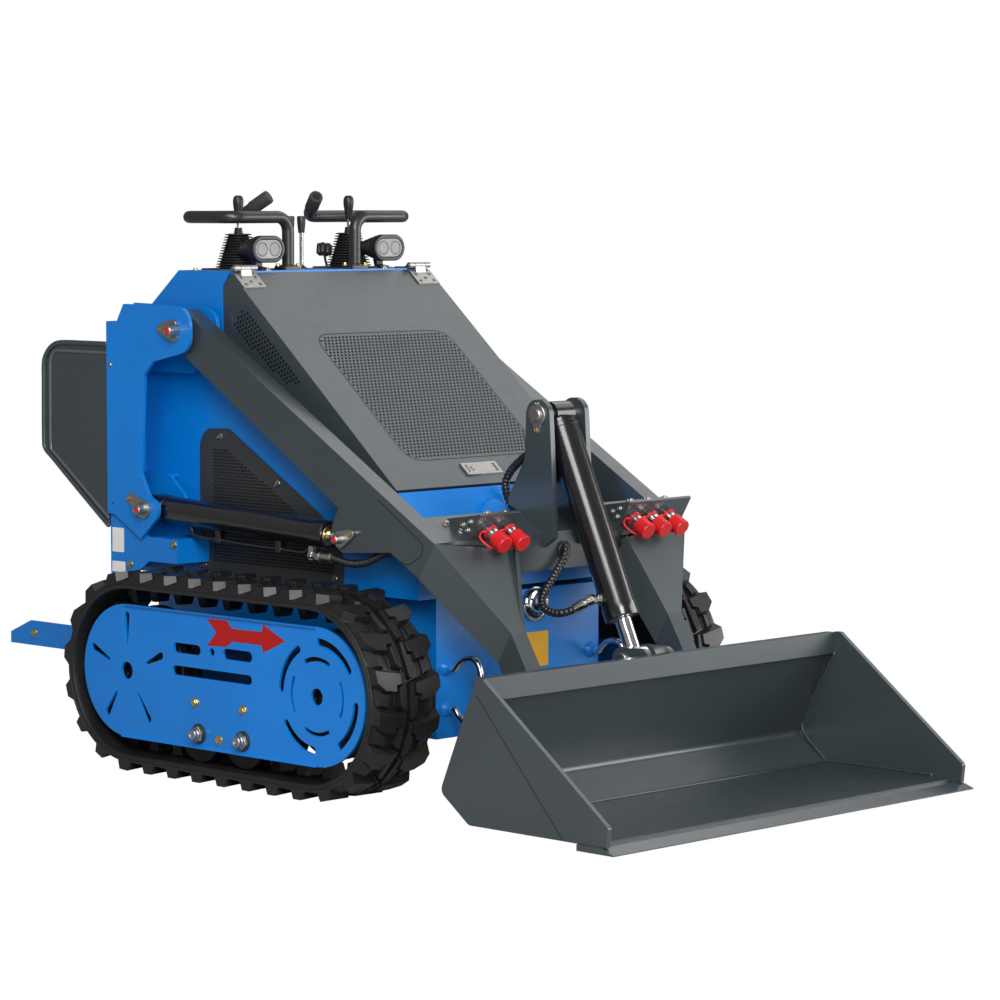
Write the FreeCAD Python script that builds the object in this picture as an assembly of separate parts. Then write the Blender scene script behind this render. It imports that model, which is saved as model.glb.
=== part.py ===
"""Mini track loader: a stand-on loader on rubber tracks, with lift arms and a bucket.

Frame: +X forward, +Y to the machine's left, +Z up, millimetres. The ground is z = 0, and the
origin is below the middle of the machine's length and width.

Lengths along the machine are written from the drive sprocket's axle ("station 0") and moved
to the origin once, when each piece is saved.
"""
import FreeCAD
import Part
import math
import os
from FreeCAD import Vector

os.makedirs("parts", exist_ok=True)

# ---------------------------------------------------------------- driving dimensions
# Tracks
axle_spacing = 560.0          # drive sprocket to front idler
track_width = 180.0
overall_track_width = 988.0   # outside to outside
belt_radius = 181.0           # outer face of the belt round both wheels
belt_thickness = 16.0
belt_edge_chamfer = 12.0
cover_recess = 15.5           # cover plate behind the belt's edge
cover_thickness = 6.0
lug_height = 19.5
lug_count = 31                # tread lugs in one row, and drive lugs inside
lug_length = 34.0
lug_edge_inset = 10.0
groove_width = 6.0
drive_lug_height = 30.0
drive_lug_width = 44.0
# Body
body_width = 554.0            # console, hood and engine bay
chassis_width = 460.0         # between the tracks
sheet = 5.0                   # body panels
frame_plate = 10.0            # welded frame plates
belly_z = 100.0
body_rear_x = -195.0
tank_front_x = 631.0
console_z = 998.0
console_rear_x = -68.0
hood_top_x = 94.0
hood_foot_x = 571.0
hood_foot_z = 583.0
# Loader
arm_pivot_x = 34.0
arm_pivot_z = 880.0
arm_outer_y = 355.0           # outside face of each lift arm
arm_thickness = 42.0
lift_barrel_radius = 27.5     # lift cylinder's tube, which swings between the tower's plates
barrel_side_gap = 5.0
lift_base_x = -68.0
lift_base_z = 516.0
lift_head_x = 498.0
lift_head_z = 489.0
bucket_pin_x = 915.0
bucket_pin_z = 150.0
tilt_top_x = 735.0
tilt_top_z = 726.0
tilt_eye_x = 942.0
tilt_eye_z = 264.0
# Bucket
bucket_width = 1024.0
bucket_tip_x = 1361.0
# Operator's end
platform_rear_x = -642.0
platform_width = 540.0
platform_z = 185.0
# Fits
running_clearance = 0.05      # radial, pin in bush

# ---------------------------------------------------------------- derived places
axle_z = belt_radius + lug_height
track_top_z = 2.0 * axle_z
track_y = (overall_track_width - track_width) / 2.0
cover_outer_y = overall_track_width / 2.0 - cover_recess
cover_inner_y = cover_outer_y - cover_thickness
body_y = body_width / 2.0
chassis_y = chassis_width / 2.0
arm_inner_y = arm_outer_y - arm_thickness
arm_y = arm_outer_y - arm_thickness / 2.0
tower_gap = 2.0 * (lift_barrel_radius + barrel_side_gap)
tower_outer_y = arm_y + tower_gap / 2.0
tower_inner_y = arm_y - tower_gap / 2.0
origin_x = (platform_rear_x + bucket_tip_x) / 2.0

SIDES = (("right", -1), ("left", 1))


# ---------------------------------------------------------------- modelling helpers
def box(x0, x1, y0, y1, z0, z1):
    return Part.makeBox(x1 - x0, y1 - y0, z1 - z0, Vector(x0, y0, z0))


def cylinder(start, direction, radius, length):
    return Part.makeCylinder(radius, length, Vector(*start), Vector(*direction))


def pin_y(x, z, radius, y0, y1):
    """A round bar along Y."""
    return cylinder((x, y0, z), (0, 1, 0), radius, y1 - y0)


def outline(points):
    """A closed wire in the XZ plane. A point (x, z, r) is rounded with radius r."""
    count = len(points)
    corners = []
    for i in range(count):
        x, z = points[i][0], points[i][1]
        radius = points[i][2] if len(points[i]) > 2 else 0.0
        here = Vector(x, 0, z)
        before = Vector(points[i - 1][0], 0, points[i - 1][1])
        after = Vector(points[(i + 1) % count][0], 0, points[(i + 1) % count][1])
        to_before = (before - here).normalize()
        to_after = (after - here).normalize()
        if radius <= 0.0:
            corners.append((here, None, here))
            continue
        half = to_before.getAngle(to_after) / 2.0
        cut = radius / math.tan(half)
        bisector = (to_before + to_after).normalize()
        middle = here + bisector * (radius / math.sin(half) - radius)
        corners.append((here + to_before * cut, middle, here + to_after * cut))
    edges = []
    for i in range(count):
        start, middle, end = corners[i]
        if middle is not None:
            edges.append(Part.Arc(start, middle, end).toShape())
        following = corners[(i + 1) % count][0]
        if end.distanceToPoint(following) > 1e-6:
            edges.append(Part.LineSegment(end, following).toShape())
    return Part.Wire(Part.__sortEdges__(edges))


def plate_y(points, y0, y1):
    """A plate with an XZ outline, between two planes of constant Y."""
    face = Part.Face(outline(points))
    face.translate(Vector(0, y0, 0))
    return face.extrude(Vector(0, y1 - y0, 0))


def stadium(x0, x1, z, radius):
    """A closed wire in the XZ plane: two half circles joined by straight runs."""
    lower = Part.LineSegment(Vector(x0, 0, z - radius), Vector(x1, 0, z - radius)).toShape()
    upper = Part.LineSegment(Vector(x1, 0, z + radius), Vector(x0, 0, z + radius)).toShape()
    front = Part.Arc(Vector(x1, 0, z - radius), Vector(x1 + radius, 0, z),
                     Vector(x1, 0, z + radius)).toShape()
    rear = Part.Arc(Vector(x0, 0, z + radius), Vector(x0 - radius, 0, z),
                    Vector(x0, 0, z - radius)).toShape()
    return Part.Wire([lower, front, upper, rear])


def stadium_plate(x0, x1, z, radius, y0, y1):
    face = Part.Face(stadium(x0, x1, z, radius))
    face.translate(Vector(0, y0, 0))
    return face.extrude(Vector(0, y1 - y0, 0))


def fuse(shapes):
    joined = shapes[0]
    if len(shapes) > 1:
        joined = shapes[0].multiFuse(shapes[1:])
    return joined.removeSplitter()


def to_side(shape, sign):
    """The shape as modelled on the left (+Y), or mirrored to the right."""
    if sign > 0:
        return shape
    return shape.mirror(Vector(0, 0, 0), Vector(0, 1, 0))


def disc(centre, direction, radius):
    return Part.Face(Part.Wire(Part.Circle(centre, direction, radius).toShape()))


def tube_along(points, bend_radius, tube_radius):
    """A round bar that follows straight runs joined by tangent bends."""
    corners = [Vector(*point) for point in points]
    pieces = []
    start = corners[0]
    for before, corner, after in zip(corners, corners[1:], corners[2:]):
        arriving = (corner - before).normalize()
        leaving = (after - corner).normalize()
        turn = arriving.getAngle(leaving)
        reach = bend_radius * math.tan(turn / 2.0)
        bend_start = corner - arriving * reach
        pieces.append(disc(start, arriving, tube_radius).extrude(bend_start - start))
        axis = arriving.cross(leaving).normalize()
        centre = bend_start + axis.cross(arriving) * bend_radius
        bend = disc(bend_start, arriving, tube_radius)
        pieces.append(bend.revolve(centre, axis, math.degrees(turn)))
        start = corner + leaving * reach
    last = corners[-1]
    pieces.append(disc(start, last - start, tube_radius).extrude(last - start))
    return fuse(pieces)


def save(name, shape):
    """Move a finished piece to the machine's origin and write its STEP file."""
    placed = shape.copy()
    placed.translate(Vector(-origin_x, 0, 0))
    placed.exportStep("parts/" + name + ".step")


# ---------------------------------------------------------------- tracks
inner_radius = belt_radius - belt_thickness
loop_length = 2.0 * axle_spacing + 2.0 * math.pi * belt_radius


def loop_point(distance, offset):
    """A point on the belt's loop, at a distance along its outer face and an offset outward."""
    s = distance % loop_length
    arc = math.pi * belt_radius
    radius = belt_radius + offset
    if s < axle_spacing:
        return (s, axle_z + radius)
    s -= axle_spacing
    if s < arc:
        angle = math.pi / 2.0 - s / belt_radius
        return (axle_spacing + radius * math.cos(angle), axle_z + radius * math.sin(angle))
    s -= arc
    if s < axle_spacing:
        return (axle_spacing - s, axle_z - radius)
    s -= axle_spacing
    angle = -math.pi / 2.0 - s / belt_radius
    return (radius * math.cos(angle), axle_z + radius * math.sin(angle))


def lug_row(y0, y1, phase):
    """One row of tread lugs, as a toothed ring that sits in the belt's outer face."""
    pitch = loop_length / lug_count
    root = -belt_thickness / 2.0
    flank = lug_length * 0.16
    points = []
    for i in range(lug_count):
        start = (i + phase) * pitch
        points.append(loop_point(start, root))
        points.append(loop_point(start + flank, lug_height))
        points.append(loop_point(start + lug_length - flank, lug_height))
        points.append(loop_point(start + lug_length, root))
        points.append(loop_point(start + (lug_length + pitch) / 2.0, root))
    ring = plate_y(points, y0, y1)
    hole = stadium_plate(0.0, axle_spacing, axle_z, inner_radius + 2.0, y0 - 1.0, y1 + 1.0)
    return ring.cut(hole)


def drive_lugs(y0, y1):
    """The lugs inside the belt, which the sprocket drives and the wheels run between."""
    pitch = loop_length / lug_count
    bottom = -belt_thickness - drive_lug_height
    lugs = []
    for i in range(lug_count):
        start = (i + 0.3) * pitch
        middle = start + pitch * 0.22
        points = [loop_point(start, -belt_thickness + 4.0),
                  loop_point(start + pitch * 0.44, -belt_thickness + 4.0),
                  loop_point(middle + pitch * 0.12, bottom),
                  loop_point(middle - pitch * 0.12, bottom)]
        lugs.append(plate_y(points, y0, y1))
    return lugs


def rubber_track():
    y0 = track_y - track_width / 2.0
    y1 = track_y + track_width / 2.0
    face = Part.Face(stadium(0.0, axle_spacing, axle_z, belt_radius))
    face.translate(Vector(0, y0, 0))
    belt = face.extrude(Vector(0, track_width, 0))
    outer_edges = []
    for edge in belt.Edges:
        on_face = abs(edge.CenterOfMass.y - y0) < 0.01 or abs(edge.CenterOfMass.y - y1) < 0.01
        if on_face:
            outer_edges.append(edge)
    belt = belt.makeChamfer(belt_edge_chamfer * 0.6, outer_edges)
    belt = belt.cut(stadium_plate(0.0, axle_spacing, axle_z, inner_radius, y0 - 1.0, y1 + 1.0))
    inner_row = lug_row(y0 + lug_edge_inset, track_y - groove_width / 2.0, 0.0)
    outer_row = lug_row(track_y + groove_width / 2.0, y1 - lug_edge_inset, 0.5)
    lugs = drive_lugs(track_y - drive_lug_width / 2.0, track_y + drive_lug_width / 2.0)
    return fuse([belt, inner_row, outer_row] + lugs)


wheel_gap = 1.0
axle_radius = 22.0
sprocket_radius = inner_radius - drive_lug_height - 4.0
sprocket_bars = 11
bar_radius = 9.0
bar_circle = sprocket_radius - bar_radius
roller_radius = 60.0
roller_stations = (205.0, 335.0)
wheel_half_width = 60.0
wheel_tread = 28.0            # width of each tread of a wheel, beside the drive lugs
frame_side_y = track_y - 70.0 # middle of the track frame's side plate


def drive_sprocket():
    """Two plates with bars between them that push on the belt's drive lugs."""
    half = 31.0
    plates = []
    for y0 in (track_y - half, track_y + half - 8.0):
        plate = pin_y(0.0, axle_z, sprocket_radius + 6.0, y0, y0 + 8.0)
        plates.append(plate)
    hub = pin_y(0.0, axle_z, 75.0, track_y - half, track_y + half)
    bars = []
    for i in range(sprocket_bars):
        angle = 2.0 * math.pi * i / sprocket_bars
        bars.append(pin_y(bar_circle * math.cos(angle), axle_z + bar_circle * math.sin(angle),
                          bar_radius, track_y - half + 8.0, track_y + half - 8.0))
    bore = pin_y(0.0, axle_z, axle_radius, track_y - 100.0, track_y + 100.0)
    return fuse(plates + [hub] + bars).cut(bore)


def idler_wheel():
    tip = inner_radius - wheel_gap
    solids = [pin_y(axle_spacing, axle_z, 48.0, track_y - wheel_half_width,
                    track_y + wheel_half_width)]
    for y0 in (track_y - wheel_half_width, track_y + wheel_half_width - wheel_tread):
        rim = pin_y(axle_spacing, axle_z, tip, y0, y0 + wheel_tread)
        solids.append(rim)
    wheel = fuse(solids)
    bore = pin_y(axle_spacing, axle_z, axle_radius, track_y - 100.0, track_y + 100.0)
    return wheel.cut(bore)


def track_rollers():
    """Double-flanged rollers on axles from the track frame to the cover."""
    rollers = []
    z = axle_z - inner_radius + wheel_gap + roller_radius
    for x in roller_stations:
        pieces = [pin_y(x, z, 24.0, track_y - wheel_half_width, track_y + wheel_half_width),
                  pin_y(x, z, 10.0, frame_side_y + frame_plate / 2.0, cover_inner_y)]
        for y0 in (track_y - wheel_half_width, track_y + wheel_half_width - wheel_tread):
            pieces.append(pin_y(x, z, roller_radius, y0, y0 + wheel_tread))
        rollers.append(fuse(pieces))
    return rollers


def track_frame():
    """The side plate and box beam inside the track, its arms to the chassis and the axles."""
    inside = frame_side_y - frame_plate / 2.0
    outside = frame_side_y + frame_plate / 2.0
    side = stadium_plate(30.0, axle_spacing, axle_z, 40.0, inside, outside)
    gusset = box(90.0, axle_spacing - 90.0, inside, outside, axle_z - 118.0, axle_z + 60.0)
    beam = box(172.0, 388.0, outside, track_y + 25.0, axle_z - 34.0, axle_z + 60.0)
    solids = [side, gusset, beam]
    for x in (150.0, 400.0):
        solids.append(box(x - 35.0, x + 35.0, chassis_y, outside, axle_z - 10.0, axle_z + 50.0))
    for x in (0.0, axle_spacing):
        solids.append(pin_y(x, axle_z, axle_radius - running_clearance, inside, cover_inner_y - 25.0))
    motor = pin_y(0.0, axle_z, 68.0, chassis_y, inside)
    return fuse(solids + [motor])


cover_radius = 133.0


def radial_slots(x, z, count, inner, outer, width, y0, y1):
    """Teardrop slots, each narrow at its inner end, spread round a centre."""
    slots = []
    for i in range(count):
        slot = plate_y([(inner, -width * 0.2), (outer - width / 2.0, -width / 2.0),
                        (outer, -width / 2.0, width * 0.45), (outer, width / 2.0, width * 0.45),
                        (outer - width / 2.0, width / 2.0), (inner, width * 0.2)], y0, y1)
        slot.rotate(Vector(0, 0, 0), Vector(0, 1, 0), -90.0 - i * 360.0 / count)
        slot.translate(Vector(x, 0, z))
        slots.append(slot)
    return slots


def arc_slot(x, z, radius, width, middle, span, y0, y1):
    """A slot along an arc, with its middle at an angle up from +X."""
    outer = pin_y(0, 0, radius + width / 2.0, y0, y1)
    ring = outer.cut(pin_y(0, 0, radius - width / 2.0, y0 - 1, y1 + 1))
    reach = radius * 3.0
    half = math.radians(span / 2.0)
    wedge = plate_y([(0, 0), (reach * math.cos(half), -reach * math.sin(half)),
                     (reach * math.cos(half), reach * math.sin(half))], y0 - 1, y1 + 1)
    slot = ring.common(wedge)
    slot.rotate(Vector(0, 0, 0), Vector(0, 1, 0), -middle)
    slot.translate(Vector(x, 0, z))
    return slot


def straight_slot(x0, x1, z, width, y0, y1):
    return stadium_plate(x0 + width / 2.0, x1 - width / 2.0, z, width / 2.0, y0, y1)


def track_cover():
    """The outer plate over the wheels, with its vent slots and stiffened edges."""
    y0, y1 = cover_inner_y, cover_outer_y
    plate = stadium_plate(0.0, axle_spacing, axle_z, cover_radius, y0, y1)
    lips = []
    for z in (axle_z + cover_radius, axle_z - cover_radius):
        depth = 9.0 if z > axle_z else -9.0
        z_in = z - depth
        lips.append(box(0.0, axle_spacing, y0, y1 + 3.0, min(z, z_in), max(z, z_in)))
    plate = fuse([plate] + lips)
    a, b = y0 - 5.0, y1 + 5.0
    holes = [pin_y(0.0, axle_z, 18.0, a, b), pin_y(axle_spacing, axle_z, 18.0, a, b)]
    holes += radial_slots(0.0, axle_z, 5, 58.0, 122.0, 19.0, a, b)
    for i in range(4):
        holes.append(arc_slot(axle_spacing, axle_z, 65.0, 8.0 + 3.0 * (i % 2), i * 90.0, 56.0, a, b))
        holes.append(arc_slot(axle_spacing, axle_z, 103.0, 17.0, 38.0 + i * 90.0, 54.0, a, b))
    holes.append(straight_slot(139.0, 222.0, axle_z + 60.0, 21.0, a, b))
    holes.append(straight_slot(286.0, 373.0, axle_z + 60.0, 21.0, a, b))
    holes.append(pin_y(255.0, axle_z + 58.0, 8.5, a, b))
    holes.append(straight_slot(139.0, 373.0, axle_z + 14.0, 21.0, a, b))
    return plate.cut(holes)


# ---------------------------------------------------------------- chassis
def mirrored_pair(shape):
    return [to_side(shape, 1), to_side(shape, -1)]


tank_rear_x = 540.0
slope_foot_z = 470.0
upper_body_z = 384.0
console_front_x = 90.0
hood_side_x = 70.0
hood_side_z = 870.0
seam = 3.0


def body_side():
    """One side of the engine bay and console, in one plate."""
    points = [(body_rear_x, upper_body_z), (body_rear_x, 894.0), (console_rear_x, console_z),
              (console_front_x, console_z), (hood_side_x - seam, 966.0),
              (hood_side_x - seam, hood_side_z - seam), (556.0, 562.0), (hood_foot_x + 3.0, 578.0),
              (tank_front_x, slope_foot_z), (tank_front_x, upper_body_z)]
    return plate_y(points, body_y - sheet, body_y)


def console_top():
    """The sloped control panel, its flat top and the wall that the operator leans to."""
    y0, y1 = -(body_y - sheet), body_y - sheet
    points = [(body_rear_x, upper_body_z), (body_rear_x, 894.0), (console_rear_x, console_z),
              (console_front_x, console_z), (console_front_x, console_z - 40.0),
              (console_front_x - sheet, console_z - 40.0),
              (console_front_x - sheet, console_z - sheet),
              (console_rear_x + 2.0, console_z - sheet),
              (body_rear_x + sheet, 894.0 - 2.0), (body_rear_x + sheet, upper_body_z)]
    return plate_y(points, y0, y1)


def front_panel():
    """The sloped panel between the hood's foot and the tank."""
    y0, y1 = -(body_y - sheet), body_y - sheet
    points = [(hood_foot_x + 3.0, 578.0), (tank_front_x, slope_foot_z),
              (tank_front_x, slope_foot_z - 60.0), (tank_front_x - sheet, slope_foot_z - 60.0),
              (tank_front_x - sheet, slope_foot_z - 2.0), (hood_foot_x - 3.0, 576.0)]
    return plate_y(points, y0, y1)


def lower_frame():
    """The welded trough between the tracks: belly plate, side plates and rear wall."""
    rear, front = body_rear_x, tank_rear_x
    floor = box(rear, front, -chassis_y, chassis_y, belly_z, belly_z + frame_plate)
    solids = [floor]
    for sign in (-1, 1):
        y_out = sign * chassis_y
        y_in = sign * (chassis_y - frame_plate)
        solids.append(box(rear, front, min(y_in, y_out), max(y_in, y_out), belly_z, upper_body_z))
        y_top = sign * body_y
        solids.append(box(rear, tank_front_x, min(y_in, y_top), max(y_in, y_top),
                          upper_body_z - frame_plate, upper_body_z))
    solids.append(box(rear, rear + frame_plate, -chassis_y, chassis_y, belly_z, upper_body_z))
    solids.append(box(front - frame_plate, front, -chassis_y, chassis_y, belly_z, upper_body_z))
    return fuse(solids)


def hydraulic_tank():
    return box(tank_rear_x, tank_front_x, -chassis_y, chassis_y, belly_z,
               upper_body_z - frame_plate)


def tank_front_plate():
    """The plate that carries on up from the tank to the sloped panel."""
    return box(tank_front_x - frame_plate, tank_front_x, -(body_y - sheet), body_y - sheet,
               upper_body_z, slope_foot_z - 60.0)


def engine_block():
    return box(20.0, 420.0, -190.0, 190.0, belly_z + frame_plate, 560.0)


# ---------------------------------------------------------------- hood
hood_top_z = console_z - 4.0
hinge_x = hood_top_x + 4.0
hinge_z = console_z + 6.0
hinge_y = 245.0
hinge_leaf = 60.0             # width of a hinge
hinge_sheet = 3.0
knuckle_radius = 6.0
hinge_pin_radius = 3.0
latch_y = -16.0
latch_width = 98.0
latch_height = 32.0


def hood():
    """Sloped face and two wedge-shaped skirts, folded from one sheet."""
    slope = math.atan2(hood_top_z - hood_foot_z, hood_foot_x - hood_top_x)
    drop = sheet / math.cos(slope)
    face = plate_y([(hood_top_x, hood_top_z), (hood_foot_x, hood_foot_z),
                    (hood_foot_x - 6.0, hood_foot_z - 6.0),
                    (hood_top_x, hood_top_z - drop)], -body_y, body_y)
    solids = [face]
    skirt = [(hood_side_x, 966.0), (hood_top_x, hood_top_z), (hood_foot_x, hood_foot_z),
             (558.0, 566.0), (hood_side_x, hood_side_z)]
    solids.append(plate_y(skirt, body_y - sheet, body_y))
    solids.append(plate_y(skirt, -body_y, -body_y + sheet))
    return fuse(solids)


def on_hood(distance, height):
    """A point down the hood's sloped face from its top edge, and off that face."""
    run = Vector(hood_foot_x - hood_top_x, 0, hood_foot_z - hood_top_z).normalize()
    off = Vector(-run.z, 0, run.x)
    place = Vector(hood_top_x, 0, hood_top_z) + run * distance + off * height
    return (place.x, place.z)


def hood_hinge():
    """The hinge half on the hood: a leaf on the slope and the middle knuckle."""
    leaf = plate_y([on_hood(2.0, 0.0), on_hood(46.0, 0.0), on_hood(46.0, hinge_sheet),
                    on_hood(2.0, hinge_sheet)], hinge_y - hinge_leaf / 2.0,
                   hinge_y + hinge_leaf / 2.0)
    web = plate_y([on_hood(2.0, 0.0), on_hood(12.0, 0.0), on_hood(12.0, hinge_sheet),
                   (hinge_x + 5.0, hinge_z - 2.0), (hinge_x - 2.0, hinge_z - 5.0)],
                  hinge_y - 14.0, hinge_y + 14.0)
    knuckle = pin_y(hinge_x, hinge_z, knuckle_radius, hinge_y - 14.0, hinge_y + 14.0)
    bore = pin_y(hinge_x, hinge_z, hinge_pin_radius, hinge_y - 20.0, hinge_y + 20.0)
    return fuse([leaf, web, knuckle]).cut(bore)


def hinge_mount():
    """The hinge half on the console: two knuckles, their leaf and the pin."""
    pin = pin_y(hinge_x, hinge_z, hinge_pin_radius - running_clearance,
                hinge_y - 32.0, hinge_y + 32.0)
    solids = [pin]
    for y in (hinge_y - 30.0, hinge_y + 15.0):
        solids.append(pin_y(hinge_x, hinge_z, knuckle_radius, y, y + 15.0))
        solids.append(plate_y([(console_front_x - 34.0, console_z), (console_front_x, console_z),
                               (hinge_x - 1.0, hinge_z - 5.0), (hinge_x - 2.0, hinge_z + 4.0),
                               (console_front_x - 4.0, console_z + hinge_sheet),
                               (console_front_x - 34.0, console_z + hinge_sheet)], y, y + 15.0))
    return fuse(solids)


def hood_latch():
    """A flush paddle latch near the hood's foot."""
    length = math.hypot(hood_foot_x - hood_top_x, hood_foot_z - hood_top_z)
    low, high = length - 24.0, length - 24.0 - latch_height
    y0, y1 = latch_y - latch_width / 2.0, latch_y + latch_width / 2.0
    plate = plate_y([on_hood(high, 0.0), on_hood(low, 0.0), on_hood(low, 4.0), on_hood(high, 4.0)],
                    y0, y1)
    dish = plate_y([on_hood(high + 5.0, 1.5), on_hood(low - 5.0, 1.5), on_hood(low - 5.0, 9.0),
                    on_hood(high + 5.0, 9.0)], y0 + 8.0, y1 - 8.0)
    return plate.cut(dish)


# ---------------------------------------------------------------- tank and sides
grille_sheet = 3.0
gauge_y = 47.0
gauge_z = 342.0
gauge_radius = 28.0
filler_x = 607.0
filler_z = 514.0
filler_y = -43.0
filler_radius = 44.0
hook_y = 204.0
hook_bar = 12.0


def side_grille():
    """The perforated panel screwed on each side of the engine bay."""
    points = [(-3.0, upper_body_z + 4.0, 6.0), (-3.0, 640.0, 20.0), (44.0, 677.0, 14.0),
              (87.0, 679.0, 20.0), (364.0, 519.0, 60.0), (422.0, 440.0, 30.0),
              (422.0, upper_body_z + 4.0, 6.0)]
    return plate_y(points, body_y, body_y + grille_sheet)


def tank_fittings():
    """The filler cap on the sloped panel and the sight gauge on the tank's front."""
    along = Vector(tank_front_x - hood_foot_x - 3.0, 0, slope_foot_z - 578.0).normalize()
    off = Vector(-along.z, 0, along.x)
    foot = Vector(hood_foot_x + 3.0, filler_y, 578.0)
    foot = foot + along * (Vector(filler_x, filler_y, filler_z) - foot).dot(along)
    cap = Part.makeCone(filler_radius, filler_radius - 5.0, 12.0, foot, off)
    gauge = Part.makeCone(gauge_radius, gauge_radius - 6.0, 9.0,
                          Vector(tank_front_x, gauge_y, gauge_z), Vector(1, 0, 0))
    return Part.makeCompound([cap, gauge])


def tow_hook(z, turn):
    """One flat hook welded to the tank's front; turn is 1 for upwards and -1 for down."""
    x = tank_front_x
    profile = [(0.0, 8.0), (20.0, 6.0, 8.0), (44.0, 30.0, 10.0), (84.0, 30.0, 22.0), (98.0, -16.0),
               (84.0, -18.0), (74.0, 14.0, 8.0), (54.0, 16.0, 6.0), (32.0, -10.0, 10.0), (0.0, -8.0)]
    points = [(x + point[0], z + turn * point[1]) + point[2:] for point in profile]
    return plate_y(points, hook_y - hook_bar / 2.0, hook_y + hook_bar / 2.0)


# ---------------------------------------------------------------- towers
tower_plate = 8.0
tower_rear_x = -183.0
ear_radius = 44.0
pivot_pin_radius = 15.0
lift_pin_radius = 12.5
pin_stand_out = 20.0          # pin ends beyond the tower's outer plate
skirt_sheet = 4.0
skirt_front_z = track_top_z + 7.0
skirt_rear_z = track_top_z - 25.0


def tower_outer_plate():
    ear_x = arm_pivot_x + ear_radius
    points = [(tower_rear_x, 500.0), (tower_rear_x, 894.0), (-149.0, 895.0), (-128.0, 930.0),
              (arm_pivot_x - 10.0, arm_pivot_z + ear_radius + 5.0),
              (ear_x, arm_pivot_z + ear_radius + 2.0, 40.0), (ear_x, arm_pivot_z - 40.0, 36.0),
              (-37.0, 815.0, 10.0), (-64.0, 788.0, 14.0), (-76.0, 586.0, 10.0),
              (-50.0, 541.0, 16.0), (-20.0, 528.0, 18.0), (-26.0, 500.0, 18.0), (-79.0, 453.0),
              (-163.0, 500.0, 10.0)]
    return plate_y(points, tower_outer_y, tower_outer_y + tower_plate)


def tower_inner_lugs():
    """The plates behind the arm's boss and the cylinder's eye."""
    ear_x = arm_pivot_x + ear_radius
    upper = [(tower_rear_x, 790.0), (tower_rear_x, 930.0),
             (ear_x, arm_pivot_z + ear_radius, 40.0), (ear_x, arm_pivot_z - 42.0, 36.0),
             (0.0, 790.0)]
    lower = [(tower_rear_x, 446.0), (tower_rear_x, 582.0), (-75.0, 582.0), (-26.0, 541.0, 16.0),
             (0.0, 461.0)]
    y0 = tower_inner_y - tower_plate
    return [plate_y(upper, y0, tower_inner_y), plate_y(lower, y0, tower_inner_y)]


def tower_skirt():
    """Sheet below the tower's plates, folded in along its top and its front."""
    y1 = tower_outer_y
    y0 = y1 - skirt_sheet
    front = [(tower_rear_x, skirt_rear_z), (tower_rear_x, 512.0), (-160.0, 512.0), (-74.0, 464.0),
             (-64.0, 458.0), (26.0, 458.0), (24.0, skirt_front_z), (-62.0, skirt_front_z),
             (-110.0, skirt_rear_z)]
    face = plate_y(front, y0, y1)
    folded_to = body_y + grille_sheet
    shelf = plate_y([(-80.0, 454.0), (26.0, 454.0), (26.0, 458.0), (-80.0, 458.0)], folded_to, y1)
    fold = plate_y([(20.0, skirt_front_z), (24.0, skirt_front_z), (26.0, 458.0), (22.0, 458.0)],
                   folded_to, y1)
    return [face, shelf, fold]


def tower():
    back = box(tower_rear_x, tower_rear_x + tower_plate, body_y, tower_outer_y, 384.0, 894.0)
    ledge = box(tower_rear_x, -75.0, body_y, tower_inner_y, 574.0, 582.0)
    shelf = box(tower_rear_x, 0.0, body_y, tower_inner_y, 790.0, 798.0)
    solids = [tower_outer_plate(), back, ledge, shelf] + tower_inner_lugs() + tower_skirt()
    y0, y1 = body_y, tower_outer_y + tower_plate + 1.0
    holes = [pin_y(arm_pivot_x, arm_pivot_z, pivot_pin_radius, y0, y1),
             pin_y(lift_base_x, lift_base_z, lift_pin_radius, y0, y1)]
    return fuse(solids).cut(holes)


def tower_pin(x, z, radius):
    """A pin through both of the tower's plates, standing out of the outer one."""
    return pin_y(x, z, radius - running_clearance, tower_inner_y - tower_plate,
                 tower_outer_y + tower_plate + pin_stand_out)


# ---------------------------------------------------------------- loader arms
pivot_side_gap = 1.5          # arm boss to tower plates
lift_eye_slot = 30.0          # between the cheeks of the arm's bracket
knee_top = (753.0, 497.0)     # where the arm's upper edge turns down
knee_low = (712.0, 427.0)


def arm_beam():
    """The straight box arm from the tower to the knee, with the cylinder's bracket below."""
    points = [(arm_pivot_x - 34.0, arm_pivot_z + 43.0, 30.0),
              (arm_pivot_x + 4.0, arm_pivot_z + 40.0), knee_top, knee_low,
              (634.0, 472.0), (492.0, 462.0, 22.0), (470.0, 512.0, 10.0), (490.0, 549.0),
              (arm_pivot_x - 8.0, 836.0, 30.0), (arm_pivot_x - 38.0, arm_pivot_z - 20.0, 26.0)]
    solid = plate_y(points, arm_inner_y, arm_outer_y)
    boss = pin_y(arm_pivot_x, arm_pivot_z, 30.0, tower_inner_y + pivot_side_gap,
                 tower_outer_y - pivot_side_gap)
    slot = plate_y([(430.0, 440.0), (558.0, 440.0), (558.0, 532.0), (430.0, 532.0)],
                   arm_y - lift_eye_slot / 2.0, arm_y + lift_eye_slot / 2.0)
    bore = pin_y(arm_pivot_x, arm_pivot_z, pivot_pin_radius, 0.0, tower_outer_y)
    return fuse([solid, boss]).cut([slot, bore])


def flat_plate(corners, thickness, inside):
    """A flat plate through three corners, its fourth dropped onto their plane, thick to one side."""
    points = [Vector(*corner) for corner in corners]
    normal = (points[1] - points[0]).cross(points[2] - points[0]).normalize()
    if normal.dot(Vector(*inside) - points[0]) < 0.0:
        normal = -normal
    points[3] = points[3] - normal * normal.dot(points[3] - points[0])
    face = Part.Face(Part.makePolygon(points + [points[0]]))
    return face.extrude(normal * thickness)


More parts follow.
